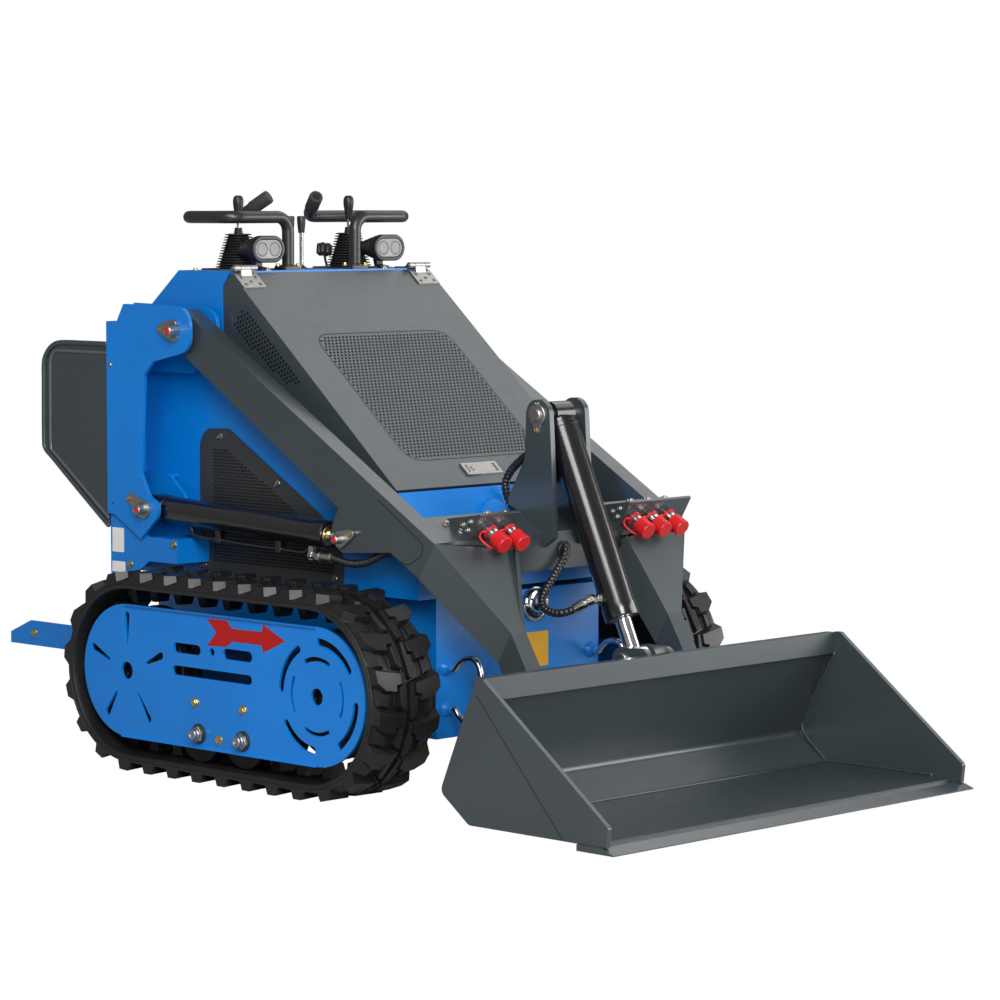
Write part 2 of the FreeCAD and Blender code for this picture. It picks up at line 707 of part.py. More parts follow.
leg_outer_y = 242.0
leg_inner_y = 202.0
forearm_plate = 8.0
arm_tip_x = 753.0


def forearm():
    """The converging leg below the knee: outer, front and inner plates over a box leg."""
    inward = (735.0, 230.0, 400.0)
    knee_top_y = (arm_tip_x, arm_outer_y, 497.0)
    knee_low_y = (712.0, arm_outer_y, 427.0)
    knee_in = (777.0, 153.0, 480.0)
    leg_top = (844.0, leg_outer_y, 327.0)
    leg_top_in = (844.0, leg_inner_y, 327.0)
    outer = flat_plate([knee_top_y, leg_top, (811.0, leg_outer_y, 266.0), knee_low_y],
                       forearm_plate, inward)
    front = flat_plate([knee_top_y, leg_top, leg_top_in, knee_in], forearm_plate, inward)
    inner = flat_plate([knee_in, leg_top_in, (811.0, leg_inner_y, 266.0), (736.0, 153.0, 424.0)],
                       forearm_plate, inward)
    leg = plate_y([(828.0, 350.0), (844.0, 327.0), (bucket_pin_x + 28.0, bucket_pin_z + 10.0),
                   (bucket_pin_x + 28.0, bucket_pin_z - 28.0, 26.0),
                   (bucket_pin_x - 28.0, bucket_pin_z - 28.0, 26.0),
                   (811.0, 266.0), (804.0, 284.0)], leg_inner_y, leg_outer_y)
    bore = pin_y(bucket_pin_x, bucket_pin_z, lift_pin_radius, leg_inner_y - 1, leg_outer_y + 1)
    behind = plate_y([(600.0, 300.0), (600.0, 560.0), (knee_top[0], 560.0), knee_top, knee_low,
                      (knee_low[0], 300.0)],
                     arm_inner_y, arm_outer_y + 1.0)
    return fuse([outer, front, inner, leg]).cut([bore, behind, knee_beam()])


deck_sheet = 8.0


def deck_z(x):
    """Height of the deck between the arms, in line with their upper edges."""
    slope = (arm_pivot_z + 40.0 - knee_top[1]) / (knee_top[0] - arm_pivot_x - 4.0)
    return knee_top[1] - slope * (x - knee_top[0])


def knee_beam():
    return plate_y([(682.0, deck_z(682.0)), (750.0, deck_z(750.0)), (742.0, 424.0), (690.0, 424.0)],
                   -arm_inner_y, arm_inner_y)


def cross_member():
    """The box across the machine that joins both arms at the knee, with its deck."""
    deck = plate_y([(682.0, deck_z(682.0)), (790.0, deck_z(790.0)),
                    (790.0, deck_z(790.0) - deck_sheet), (682.0, deck_z(682.0) - deck_sheet)],
                   153.0, arm_inner_y)
    inset = forearm_plate + 2.0
    plan = [(753.0 - inset, arm_outer_y), (777.0 - inset, 153.0), (800.0, 100.0), (900.0, arm_outer_y)]
    front = Part.Face(Part.makePolygon([Vector(x, y, 300.0) for x, y in plan + plan[:1]]))
    deck = deck.cut(front.extrude(Vector(0, 0, 400)))
    return fuse([knee_beam()] + mirrored_pair(deck))


coupler_height = 22.0         # of a coupler's axis off the deck
coupler_spacing = 50.0
coupler_cap_radius = 18.0
coupler_cap_length = 45.0
coupler_tip_x = 811.0
bracket_height = 57.0
bracket_plate = 6.0


def on_deck(distance, height):
    """A point down the deck's slope from the knee, and off the deck."""
    run = Vector(1.0, 0, deck_z(1.0) - deck_z(0.0)).normalize()
    off = Vector(-run.z, 0, run.x)
    place = Vector(knee_top[0], 0, knee_top[1]) + run * distance + off * height
    return place


def on_deck_plate(points, y0, y1):
    corners = []
    for distance, height in points:
        place = on_deck(distance, height)
        corners.append((place.x, place.z))
    return plate_y(corners, y0, y1)


def coupler_bracket(y0, y1, stations):
    """An upright plate across the deck that holds the couplers, with one cheek."""
    upright = on_deck_plate([(-6.0, 0.0), (0.0, 0.0), (0.0, bracket_height),
                             (-bracket_plate, bracket_height)], y0, y1)
    cheek = on_deck_plate([(-74.0, 0.0), (-3.0, 0.0), (-3.0, bracket_height)],
                          y0, y0 + bracket_plate)
    bracket = fuse([upright, cheek])
    start, run = coupler_line()
    for y in stations:
        bore = Part.makeCylinder(coupler_body_radius, 200.0,
                                 Vector(start.x, y, start.z) - run * 100.0, run)
        bracket = bracket.cut(bore)
    return bracket


coupler_body_radius = 12.0
right_couplers = (-223.0, -173.0)
left_couplers = (182.0, 182.0 + coupler_spacing, 182.0 + 2.0 * coupler_spacing)


def coupler_line():
    """Where a coupler's axis passes the bracket, and which way it points."""
    run = (on_deck(1.0, 0.0) - on_deck(0.0, 0.0)).normalize()
    return on_deck(0.0, coupler_height), run


def coupler(y):
    """A quick coupler in its bracket, under its dust cap."""
    start, run = coupler_line()
    tip = (coupler_tip_x - start.x) / run.x
    place = Vector(start.x, y, start.z)
    body = Part.makeCylinder(coupler_body_radius, tip - 10.0 + 46.0, place - run * 46.0, run)
    cap = Part.makeCylinder(coupler_cap_radius, coupler_cap_length,
                            place + run * (tip - coupler_cap_length), run)
    return fuse([body, cap])


mast_ear_y = 56.0
mast_ear_plate = 12.0
tilt_pin_radius = 12.5


def mast_ear():
    points = [(tilt_top_x - 30.0, tilt_top_z + 30.0, 29.0), (tilt_top_x + 30.0, tilt_top_z + 30.0, 29.0),
              (772.0, 640.0), (779.0, 490.0), (750.0, 470.0), (750.0, deck_z(750.0)),
              (682.0, deck_z(682.0)), (655.0, 548.0), (655.0, 560.0), (700.0, 640.0)]
    plate = plate_y(points, mast_ear_y - mast_ear_plate, mast_ear_y)
    return plate.cut(pin_y(tilt_top_x, tilt_top_z, tilt_pin_radius, 0.0, 100.0))


# ---------------------------------------------------------------- cylinders
def direction(x0, z0, x1, z1):
    run = Vector(x1 - x0, 0, z1 - z0)
    return run, run.Length


def cylinder_barrel(x0, z0, x1, z1, y, radius, eye_radius, eye_width, pin_radius, length):
    """Eye at the base pin, tube and gland, towards the other end, bored for the rod."""
    run, reach = direction(x0, z0, x1, z1)
    unit = run.normalize()
    eye = pin_y(x0, z0, eye_radius, y - eye_width / 2.0, y + eye_width / 2.0)
    start = Vector(x0, y, z0) + unit * (eye_radius * 0.6)
    tube = Part.makeCylinder(radius, length - eye_radius * 0.6, start, unit)
    body = fuse([eye, tube])
    return body, unit


# Lift cylinder
lift_rod_radius = 12.5
lift_eye_radius = 27.0
lift_eye_width = 30.0
lift_barrel_length = 512.0
# Tilt cylinder
tilt_barrel_radius = 33.0
tilt_rod_radius = 16.0
tilt_eye_radius = 25.0
tilt_eye_width = 50.0
tilt_barrel_length = 424.0


def lift_barrel():
    body, unit = cylinder_barrel(lift_base_x, lift_base_z, lift_head_x, lift_head_z, arm_y,
                                 lift_barrel_radius, lift_eye_radius, lift_eye_width,
                                 lift_pin_radius, lift_barrel_length)
    start = Vector(lift_base_x, arm_y, lift_base_z) + unit * 60.0
    bore = Part.makeCylinder(lift_rod_radius + running_clearance, lift_barrel_length, start, unit)
    eye_bore = pin_y(lift_base_x, lift_base_z, lift_pin_radius, arm_y - 50, arm_y + 50)
    return body.cut([bore, eye_bore])


def lift_rod():
    run, reach = direction(lift_base_x, lift_base_z, lift_head_x, lift_head_z)
    unit = run.normalize()
    start = Vector(lift_base_x, arm_y, lift_base_z) + unit * 64.0
    rod = Part.makeCylinder(lift_rod_radius, reach - 64.0 - lift_eye_radius * 0.6, start, unit)
    eye = pin_y(lift_head_x, lift_head_z, lift_eye_radius, arm_y - lift_eye_slot / 2.0 + 2.0,
                arm_y + lift_eye_slot / 2.0 - 2.0)
    return fuse([rod, eye])


def tilt_barrel():
    body, unit = cylinder_barrel(tilt_top_x, tilt_top_z, tilt_eye_x, tilt_eye_z, 0.0,
                                 tilt_barrel_radius, tilt_eye_radius, tilt_eye_width,
                                 tilt_pin_radius, tilt_barrel_length)
    start = Vector(tilt_top_x, 0, tilt_top_z) + unit * 50.0
    bore = Part.makeCylinder(tilt_rod_radius + running_clearance, tilt_barrel_length, start, unit)
    eye_bore = pin_y(tilt_top_x, tilt_top_z, tilt_pin_radius, -50, 50)
    return body.cut([bore, eye_bore])


def tilt_rod():
    run, reach = direction(tilt_top_x, tilt_top_z, tilt_eye_x, tilt_eye_z)
    unit = run.normalize()
    start = Vector(tilt_top_x, 0, tilt_top_z) + unit * 90.0
    rod = Part.makeCylinder(tilt_rod_radius, reach - 90.0 - tilt_eye_radius * 0.6, start, unit)
    eye = pin_y(tilt_eye_x, tilt_eye_z, tilt_eye_radius, -20.0, 20.0)
    return fuse([rod, eye])


def tilt_top_pin():
    return pin_y(tilt_top_x, tilt_top_z, tilt_pin_radius - running_clearance,
                 -mast_ear_y - 4.0, mast_ear_y + 4.0)


# ---------------------------------------------------------------- bucket
bucket_y = bucket_width / 2.0
bucket_sheet = 6.0
side_sheet = 10.0
rim_z = 280.0
edge_thickness = 12.0
heel = (999.0, 12.0)
bulge = (926.0, 66.0)
rim_x = 1018.0
ear_plate = 12.0


def bucket_shell():
    inner_points = [(rim_x, rim_z), (bulge[0], bulge[1], 16.0), (heel[0], heel[1], 20.0),
                    (1320.0, edge_thickness), (1320.0, edge_thickness + bucket_sheet),
                    (heel[0] + 3.0, heel[1] + bucket_sheet, 16.0),
                    (bulge[0] + bucket_sheet + 1.5, bulge[1] + 3.0, 12.0),
                    (rim_x + bucket_sheet, rim_z)]
    skin = plate_y(inner_points, -bucket_y + 1.0, bucket_y - 1.0)
    side = [(1022.0, 281.0), (1036.0, 281.0), (1344.0, 48.0, 6.0), (1340.0, edge_thickness),
            (heel[0] + 2.0, heel[1], 14.0), (bulge[0] + 4.0, bulge[1], 14.0)]
    solids = [skin]
    solids.append(plate_y(side, bucket_y - side_sheet, bucket_y))
    solids.append(plate_y(side, -bucket_y, -bucket_y + side_sheet))
    rim = box(1003.0, 1024.0, -bucket_y + side_sheet, bucket_y - side_sheet, rim_z - 42.0, rim_z)
    solids.append(rim)
    return fuse(solids)


def cutting_edge():
    points = [(1272.0, 0.0), (1272.0, edge_thickness), (bucket_tip_x - 30.0, edge_thickness),
              (bucket_tip_x, 2.0), (bucket_tip_x, 0.0)]
    return plate_y(points, -bucket_y - 4.0, bucket_y + 4.0)


def wall_x(z):
    """Where the bucket's rear wall is at a height, in the middle of its sheet."""
    return bulge[0] + (rim_x - bulge[0]) * (z - bulge[1]) / (rim_z - bulge[1]) + bucket_sheet / 2.0


def bucket_lugs():
    """Hinge ears on the bucket's back: a pair for each leg, and a pair for the tilt rod."""
    leg_ear = plate_y([(bucket_pin_x - 28.0, bucket_pin_z - 27.0, 24.0),
                       (bucket_pin_x - 28.0, bucket_pin_z + 30.0, 24.0),
                       (wall_x(225.0), 225.0), (wall_x(98.0), 98.0)], 0.0, ear_plate)
    leg_ear = leg_ear.cut(pin_y(bucket_pin_x, bucket_pin_z, lift_pin_radius, -1.0, ear_plate + 1.0))
    rod_ear = plate_y([(tilt_eye_x - 26.0, tilt_eye_z - 20.0, 20.0),
                       (tilt_eye_x - 26.0, tilt_eye_z + 26.0, 24.0),
                       (wall_x(270.0), tilt_eye_z + 26.0, 20.0),
                       (wall_x(232.0), 232.0), (wall_x(128.0), 128.0)], 0.0, ear_plate)
    ears = []
    for y in (leg_outer_y + 3.0, leg_inner_y - 3.0 - ear_plate):
        ears += mirrored_pair(leg_ear.translated(Vector(0.0, y, 0.0)))
    ears += mirrored_pair(rod_ear.translated(Vector(0.0, 26.0, 0.0)))
    return ears


def bucket_pins():
    pin = pin_y(bucket_pin_x, bucket_pin_z, lift_pin_radius - running_clearance,
                leg_inner_y - 18.0, leg_outer_y + 18.0)
    return mirrored_pair(pin)


# ---------------------------------------------------------------- operator's end
def platform():
    y = platform_width / 2.0
    floor = box(platform_rear_x, body_rear_x, -y, y, platform_z, platform_z + 5.0)
    kerb = plate_y([(platform_rear_x, platform_z), (platform_rear_x, platform_z + 24.0),
                    (platform_rear_x + 68.0, platform_z + 53.0),
                    (body_rear_x, platform_z + 53.0), (body_rear_x, platform_z)],
                   y - 5.0, y)
    return fuse([floor] + mirrored_pair(kerb))


def side_pad():
    points = [(tower_rear_x, 468.0, 8.0), (tower_rear_x, 853.0, 8.0),
              (-346.0, 851.0, 50.0), (-404.0, 797.0, 45.0), (-406.0, 634.0, 60.0)]
    return plate_y(points, tower_outer_y - 22.0, tower_outer_y + tower_plate)


grip_height = 108.0
tube_radius = 12.5
joystick_x = -22.0
joystick_y = 155.0
lever_x = -20.0


def handlebar():
    """A bent tube on two base plates, with a horn that rises towards the middle."""
    z = console_z + grip_height
    front_x, rear_x, inside_y, outside_y = 62.0, -84.0, 94.0, 223.0
    tube = tube_along([(front_x, inside_y, console_z), (front_x, inside_y, z),
                       (front_x, outside_y, z), (rear_x, outside_y, z),
                       (rear_x, inside_y + 1.0, z), (-23.0, 65.0, z + 44.0)],
                      28.0, tube_radius)
    foot = box(front_x - 22.0, front_x + 22.0, inside_y - 30.0, inside_y + 30.0,
               console_z, console_z + 6.0)
    return fuse([tube, foot])


def joystick():
    """A control stick in its bellows."""
    base = Vector(joystick_x, joystick_y, console_z)
    up = Vector(0, 0, 1)
    bellows = Part.makeCone(46.0, 26.0, 66.0, base, up)
    stick = Part.makeCylinder(5.0, 120.0, base, up)
    knob = Part.makeCone(10.0, 15.0, 26.0, base + up * 100.0, up)
    crown = Part.makeCone(15.0, 6.0, 26.0, base + up * 126.0, up)
    return fuse([bellows, stick, knob, crown])


def work_light():
    """A lamp on its foot: an oval face and a drum that tapers to the back."""
    face_x, y, z = 87.0, 170.0, console_z + 43.0
    half_width, half_height = 40.0, 26.0
    flat = half_width - half_height
    profile = stadium(-flat, flat, 0.0, half_height)
    face = Part.Face(profile)
    drum = face.extrude(Vector(0, 1, 0) * 50.0)
    drum.rotate(Vector(0, 0, 0), Vector(0, 0, 1), 90.0)
    drum.translate(Vector(face_x, y, z))
    foot = box(face_x - 30.0, face_x - 14.0, y - 10.0, y + 10.0, console_z, z)
    return fuse([drum, foot])


def control_levers():
    """The lever between the handlebars and the throttle's lobed knob."""
    up = Vector(0, 0, 1)
    rod = Part.makeCylinder(4.0, 100.0, Vector(lever_x, 25.0, console_z), up)
    sleeve = Part.makeCylinder(9.0, 32.0, Vector(lever_x, 25.0, console_z + 78.0), up)
    stem = Part.makeCylinder(4.0, 34.0, Vector(lever_x, 83.0, console_z), up)
    knob = Part.makeCylinder(16.0, 16.0, Vector(lever_x, 83.0, console_z + 26.0), up)
    return Part.makeCompound([fuse([rod, sleeve]), fuse([stem, knob])])


# ---------------------------------------------------------------- build
def both(shape):
    """One node for a pair of like pieces, one on each side."""
    return Part.makeCompound(mirrored_pair(shape))


def build():
    for side, sign in SIDES:
        save("track_" + side, to_side(rubber_track(), sign))
        save("track_frame_" + side, to_side(track_frame(), sign))
        save("track_cover_" + side, to_side(track_cover(), sign))
        save("body_side_" + side, to_side(body_side(), sign))
        save("tower_" + side, to_side(tower(), sign))
        save("lift_arm_" + side, to_side(arm_beam(), sign))
        save("forearm_" + side, to_side(forearm(), sign))
        save("lift_barrel_" + side, to_side(lift_barrel(), sign))
        save("lift_rod_" + side, to_side(lift_rod(), sign))
    save("drive_sprockets", both(drive_sprocket()))
    save("idler_wheels", both(idler_wheel()))
    save("track_rollers", both(Part.makeCompound(track_rollers())))
    save("tower_pins", both(Part.makeCompound([tower_pin(arm_pivot_x, arm_pivot_z, pivot_pin_radius),
                                               tower_pin(lift_base_x, lift_base_z, lift_pin_radius)])))
    save("side_grilles", both(side_grille()))
    save("side_pads", both(side_pad()))
    save("handlebars", both(handlebar()))
    save("joysticks", both(joystick()))
    save("work_lights", both(work_light()))
    save("control_levers", control_levers())
    save("console", console_top())
    save("front_panel", fuse([front_panel(), tank_front_plate()]))
    save("lower_frame", lower_frame())
    save("hydraulic_tank", hydraulic_tank())
    save("engine", engine_block())
    save("hood", hood())
    save("hood_hinges", both(hood_hinge()))
    save("hinge_mounts", both(hinge_mount()))
    save("hood_latch", hood_latch())
    save("tank_fittings", tank_fittings())
    save("tow_hooks", both(Part.makeCompound([tow_hook(237.0, 1), tow_hook(157.0, -1)])))
    save("platform", platform())
    save("cross_member", cross_member())
    save("mast_ears", both(mast_ear()))
    save("coupler_brackets", Part.makeCompound([
        coupler_bracket(-260.0, -150.0, right_couplers),
        coupler_bracket(158.0, 340.0, left_couplers)]))
    save("couplers", Part.makeCompound([coupler(y) for y in right_couplers + left_couplers]))
    save("tilt_pin", tilt_top_pin())
    save("tilt_barrel", tilt_barrel())
    save("tilt_rod", tilt_rod())
    save("bucket", fuse([bucket_shell()] + bucket_lugs()))
    save("cutting_edge", cutting_edge())
    save("bucket_pins", Part.makeCompound(bucket_pins()))


build()
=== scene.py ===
"""Looks of the mini track loader: materials, small fittings, floor, lights and camera."""
import math

import bmesh
import bpy
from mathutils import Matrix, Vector
from mathutils.geometry import delaunay_2d_cdt


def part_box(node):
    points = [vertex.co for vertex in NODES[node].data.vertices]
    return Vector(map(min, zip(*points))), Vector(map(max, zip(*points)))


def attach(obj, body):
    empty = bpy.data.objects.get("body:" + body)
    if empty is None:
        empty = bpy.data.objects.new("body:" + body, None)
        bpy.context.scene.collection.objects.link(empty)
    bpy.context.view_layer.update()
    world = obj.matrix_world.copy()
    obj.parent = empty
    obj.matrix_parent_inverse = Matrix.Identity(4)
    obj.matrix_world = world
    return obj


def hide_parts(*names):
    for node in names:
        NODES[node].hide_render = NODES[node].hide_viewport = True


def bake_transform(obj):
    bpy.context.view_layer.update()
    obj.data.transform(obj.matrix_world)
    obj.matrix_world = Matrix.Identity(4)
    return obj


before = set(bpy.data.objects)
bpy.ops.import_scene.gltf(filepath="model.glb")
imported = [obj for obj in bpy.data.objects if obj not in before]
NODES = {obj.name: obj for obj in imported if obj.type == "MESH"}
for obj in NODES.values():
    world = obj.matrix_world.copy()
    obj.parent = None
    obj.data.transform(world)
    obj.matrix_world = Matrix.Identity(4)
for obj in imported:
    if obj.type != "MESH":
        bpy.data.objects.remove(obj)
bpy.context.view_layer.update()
SIDES = {-1: "right", 1: "left"}

# Stations are millimetres from the drive sprocket's axle, as in the CAD; the axle's place is read
# from the frame.
_low, _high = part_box("drive_sprockets")
AXLE_X = (_low.x + _high.x) / 2.0


def at(x, y, z):
    """A point given in stations, in metres in the row frame."""
    return Vector((AXLE_X + x / 1000.0, y / 1000.0, z / 1000.0))


# ------------------------------------------------------------------ materials
class Nodes:
    """A thin wrapper that keeps node building readable."""

    def __init__(self, name):
        self.material = bpy.data.materials.new(name)
        self.material.use_nodes = True
        self.tree = self.material.node_tree
        self.shader = self.tree.nodes["Principled BSDF"]
        self.coords = self.add("ShaderNodeTexCoord").outputs["Object"]

    def add(self, kind, **settings):
        node = self.tree.nodes.new(kind)
        for key, value in settings.items():
            setattr(node, key, value)
        return node

    def link(self, source, target):
        self.tree.links.new(source, target)

    def noise(self, scale, detail=3.0, rough=0.55, stretch=None):
        node = self.add("ShaderNodeTexNoise")
        node.inputs["Scale"].default_value = scale
        node.inputs["Detail"].default_value = detail
        node.inputs["Roughness"].default_value = rough
        source = self.coords
        if stretch:
            mapping = self.add("ShaderNodeMapping")
            mapping.inputs["Scale"].default_value = stretch
            self.link(self.coords, mapping.inputs["Vector"])
            source = mapping.outputs["Vector"]
        self.link(source, node.inputs["Vector"])
        return node.outputs["Fac"]

    def ramp(self, source, low, high, from_value=0.0, to_value=1.0):
        node = self.add("ShaderNodeMapRange")
        self.link(source, node.inputs["Value"])
        node.inputs["From Min"].default_value = low
        node.inputs["From Max"].default_value = high
        node.inputs["To Min"].default_value = from_value
        node.inputs["To Max"].default_value = to_value
        return node.outputs["Result"]

    def math(self, operation, a, b):
        node = self.add("ShaderNodeMath", operation=operation)
        for socket, value in zip(node.inputs, (a, b)):
            if isinstance(value, (int, float)):
                socket.default_value = value
            else:
                self.link(value, socket)
        return node.outputs["Value"]

    def mix(self, factor, a, b):
        node = self.add("ShaderNodeMix", data_type="RGBA")
        self.link(factor, node.inputs["Factor"])
        for socket, value in ((node.inputs[6], a), (node.inputs[7], b)):
            if isinstance(value, tuple):
                socket.default_value = (*value, 1.0)
            else:
                self.link(value, socket)
        return node.outputs[2]

    def bump(self, source, strength, distance):
        node = self.add("ShaderNodeBump")
        node.inputs["Strength"].default_value = strength
        node.inputs["Distance"].default_value = distance
        self.link(source, node.inputs["Height"])
        previous = self.shader.inputs["Normal"]
        if previous.is_linked:
            self.link(previous.links[0].from_socket, node.inputs["Normal"])
        self.link(node.outputs["Normal"], previous)

    def round_edges(self, radius):
        bevel = self.add("ShaderNodeBevel", samples=4)
        bevel.inputs["Radius"].default_value = radius
        self.link(bevel.outputs["Normal"], self.shader.inputs["Normal"])

    def colour(self, value):
        self.link(value, self.shader.inputs["Base Color"])

    def rough(self, value):
        self.link(value, self.shader.inputs["Roughness"])

    def set(self, **values):
        for key, value in values.items():
            self.shader.inputs[key.replace("_", " ")].default_value = value


def paint(name, colour, roughness=0.36, coat=0.25, mottle=0.05, shine=0.5):
    """Sprayed paint: orange peel, a slight unevenness and softly rounded edges."""
    m = Nodes(name)
    m.round_edges(0.0012)
    light = tuple(min(c * (1.0 + mottle), 1.0) for c in colour)
    dark = tuple(c * (1.0 - mottle) for c in colour)
    m.colour(m.mix(m.ramp(m.noise(5.0), 0.35, 0.68), dark, light))
    m.rough(m.ramp(m.noise(38.0, 4.0), 0.3, 0.7, roughness - 0.04, roughness + 0.05))
    m.bump(m.noise(420.0, 2.0), 0.05, 0.0005)
    m.set(Coat_Weight=coat, Coat_Roughness=0.22, Specular_IOR_Level=shine)
    return m.material


def metal(name, colour, roughness=0.30, grain=(1.0, 1.0, 14.0), bump=0.05):
    """Bare or plated steel with a fine grain."""
    m = Nodes(name)
    m.round_edges(0.0008)
    light = tuple(min(c * 1.08, 1.0) for c in colour)
    dark = tuple(c * 0.82 for c in colour)
    m.colour(m.mix(m.ramp(m.noise(60.0, 4.0, 0.6, grain), 0.3, 0.7), dark, light))
    m.rough(m.ramp(m.noise(90.0, 3.0, 0.5, grain), 0.3, 0.7, roughness * 0.75, roughness * 1.3))
    m.bump(m.noise(300.0, 2.0, 0.5, grain), bump, 0.0004)
    m.set(Metallic=1.0)
    return m.material


def rubber(name, colour=(0.007, 0.007, 0.007), bloom_colour=(0.016, 0.016, 0.015), shine=0.40):
    """Moulded rubber with a faint dull bloom."""
    m = Nodes(name)
    m.round_edges(0.0012)
    bloom = m.ramp(m.noise(14.0, 6.0, 0.65), 0.42, 0.78)
    fine = m.ramp(m.noise(130.0, 4.0, 0.6), 0.35, 0.75)
    m.colour(m.mix(m.math("MULTIPLY", bloom, fine), colour, bloom_colour))
    m.rough(m.ramp(bloom, 0.0, 1.0, shine, shine + 0.14))
    m.bump(m.noise(260.0, 4.0, 0.6), 0.12, 0.0007)
    return m.material


def plastic(name, colour, roughness=0.45, grain=0.12):
    m = Nodes(name)
    m.round_edges(0.0008)
    dark = tuple(c * 0.88 for c in colour)
    m.colour(m.mix(m.ramp(m.noise(12.0, 3.0), 0.35, 0.7), dark, colour))
    m.rough(m.ramp(m.noise(60.0, 3.0), 0.3, 0.7, roughness - 0.04, roughness + 0.06))
    m.bump(m.noise(900.0, 2.0), grain, 0.0003)
    return m.material


def cloth(name, colour):
    """A dull pressed grain, as on foam."""
    scale = 900.0
    m = Nodes(name)
    speckle = m.ramp(m.noise(scale, 2.0, 0.5), 0.35, 0.65)
    m.colour(m.mix(speckle, tuple(c * 0.8 for c in colour), tuple(c * 1.15 for c in colour)))
    m.rough(m.ramp(speckle, 0.0, 1.0, 0.62, 0.80))
    m.bump(m.noise(scale, 2.0), 0.25, 0.0006)
    return m.material


def wrapped(name):
    """A hose in a spiral guard: dark bands with narrow glints between them."""
    m = Nodes(name)
    m.colour(m.mix(m.ramp(m.noise(180.0, 3.0), 0.4, 0.7), (0.008, 0.008, 0.009),
                   (0.020, 0.020, 0.021)))
    m.rough(m.ramp(m.noise(90.0, 3.0), 0.3, 0.7, 0.24, 0.38))
    m.bump(m.noise(500.0, 2.0), 0.15, 0.0004)
    return m.material


def hollow(name, colour):
    """The dark inside of a hole or a seam, which nothing lights."""
    m = Nodes(name)
    m.colour(m.mix(m.noise(40.0), colour, tuple(c * 0.6 for c in colour)))
    m.set(Roughness=0.95)
    m.shader.inputs["Specular IOR Level"].default_value = 0.1
    return m.material


slate = paint("slate_paint", (0.034, 0.046, 0.051), 0.34, 0.5)
blue = paint("machine_blue", (0.0, 0.178, 0.60), 0.36, 0.2, 0.05, 0.45)
# A lighter copy of the slate paint for the side guards' bead: a painted highlight.
bead_painted_highlight = paint("bead_painted_highlight", (0.075, 0.088, 0.098), 0.24, 0.7)
gloss_black = paint("gloss_black", (0.006, 0.006, 0.007), 0.16, 0.6, 0.0)
satin_black = paint("black_paint", (0.016, 0.016, 0.017), 0.36, 0.2, 0.03)
# The track frame's blue is painted darker than the body's blue: painted shade for the frame in the
# gap above the track cover.
blue_painted_shade = paint("frame_blue_painted_shade", (0.0, 0.045, 0.16), 0.5, 0.05, 0.05, 0.3)
roller_black = paint("roller_black", (0.004, 0.004, 0.004), 0.5, 0.0, 0.0, 0.3)
dark_steel = paint("dark_steel", (0.016, 0.018, 0.020), 0.45, 0.1)
grille_black = paint("grille_black", (0.030, 0.033, 0.035), 0.42, 0.1)
bare_steel = metal("bare_steel", (0.34, 0.33, 0.32), 0.38)
bright_steel = metal("bright_steel", (0.62, 0.60, 0.56), 0.16)
zinc = metal("zinc_plate", (0.44, 0.43, 0.41), 0.36)
chrome = metal("hard_chrome", (0.80, 0.80, 0.81), 0.09, (1.0, 1.0, 1.0), 0.01)
brass_bolt = metal("yellow_zinc", (0.66, 0.50, 0.22), 0.28)
iron = metal("cast_iron", (0.10, 0.10, 0.10), 0.6)
track_rubber = rubber("track_rubber")
soft_rubber = rubber("soft_rubber", (0.014, 0.014, 0.014), (0.022, 0.022, 0.022), 0.42)
hose_rubber = rubber("hose_rubber", (0.012, 0.012, 0.012), (0.024, 0.024, 0.024), 0.40)
wrapped_hose = wrapped("wrapped_hose")
foam_grip = cloth("foam_grip", (0.030, 0.030, 0.031))
black_plastic = plastic("black_plastic", (0.012, 0.012, 0.013), 0.38)
lamp_black = plastic("lamp_black", (0.010, 0.010, 0.011), 0.34)
bezel_grey = plastic("bezel_grey", (0.36, 0.365, 0.365), 0.5, 0.03)
reflector = plastic("reflector", (0.20, 0.20, 0.20), 0.28, 0.02)
red_plastic = plastic("red_plastic", (0.62, 0.010, 0.014), 0.35)
white_label = plastic("white_label", (0.80, 0.80, 0.79), 0.4, 0.02)
yellow_label = plastic("yellow_label", (0.74, 0.38, 0.006), 0.4, 0.02)
red_label = plastic("red_label", (0.42, 0.0, 0.0), 0.5, 0.02)
shadow = hollow("hole_shadow", (0.004, 0.004, 0.005))
seam_shadow = hollow("seam_shadow", (0.022, 0.026, 0.028))

NODE_MATERIALS = {
    "track": track_rubber, "track_frame": blue_painted_shade, "track_cover": blue,
    "drive_sprockets": dark_steel, "idler_wheels": dark_steel, "track_rollers": roller_black,
    "body_side": blue, "console": blue, "front_panel": blue, "lower_frame": blue,
    "hydraulic_tank": blue, "engine": iron, "hood": slate, "tower": blue, "tower_pins": zinc,
    "lift_arm": slate, "forearm": slate, "cross_member": slate, "mast_ears": slate,
    "tilt_pin": zinc, "lift_barrel": gloss_black, "lift_rod": chrome,
    "tilt_barrel": gloss_black, "tilt_rod": chrome, "bucket": slate, "cutting_edge": slate,
    "bucket_pins": zinc, "platform": blue, "side_pads": slate,
    "handlebars": satin_black, "joysticks": soft_rubber, "work_lights": black_plastic,
    "side_grilles": grille_black, "coupler_brackets": slate, "couplers": red_plastic,
    "tow_hooks": bright_steel, "tank_fittings": blue, "control_levers": black_plastic,
    "hood_hinges": zinc, "hinge_mounts": zinc, "hood_latch": zinc,
}
for node_name, node in NODES.items():
    family = node_name.removesuffix("_right").removesuffix("_left")
    node.data.materials.clear()
    node.data.materials.append(NODE_MATERIALS[family])

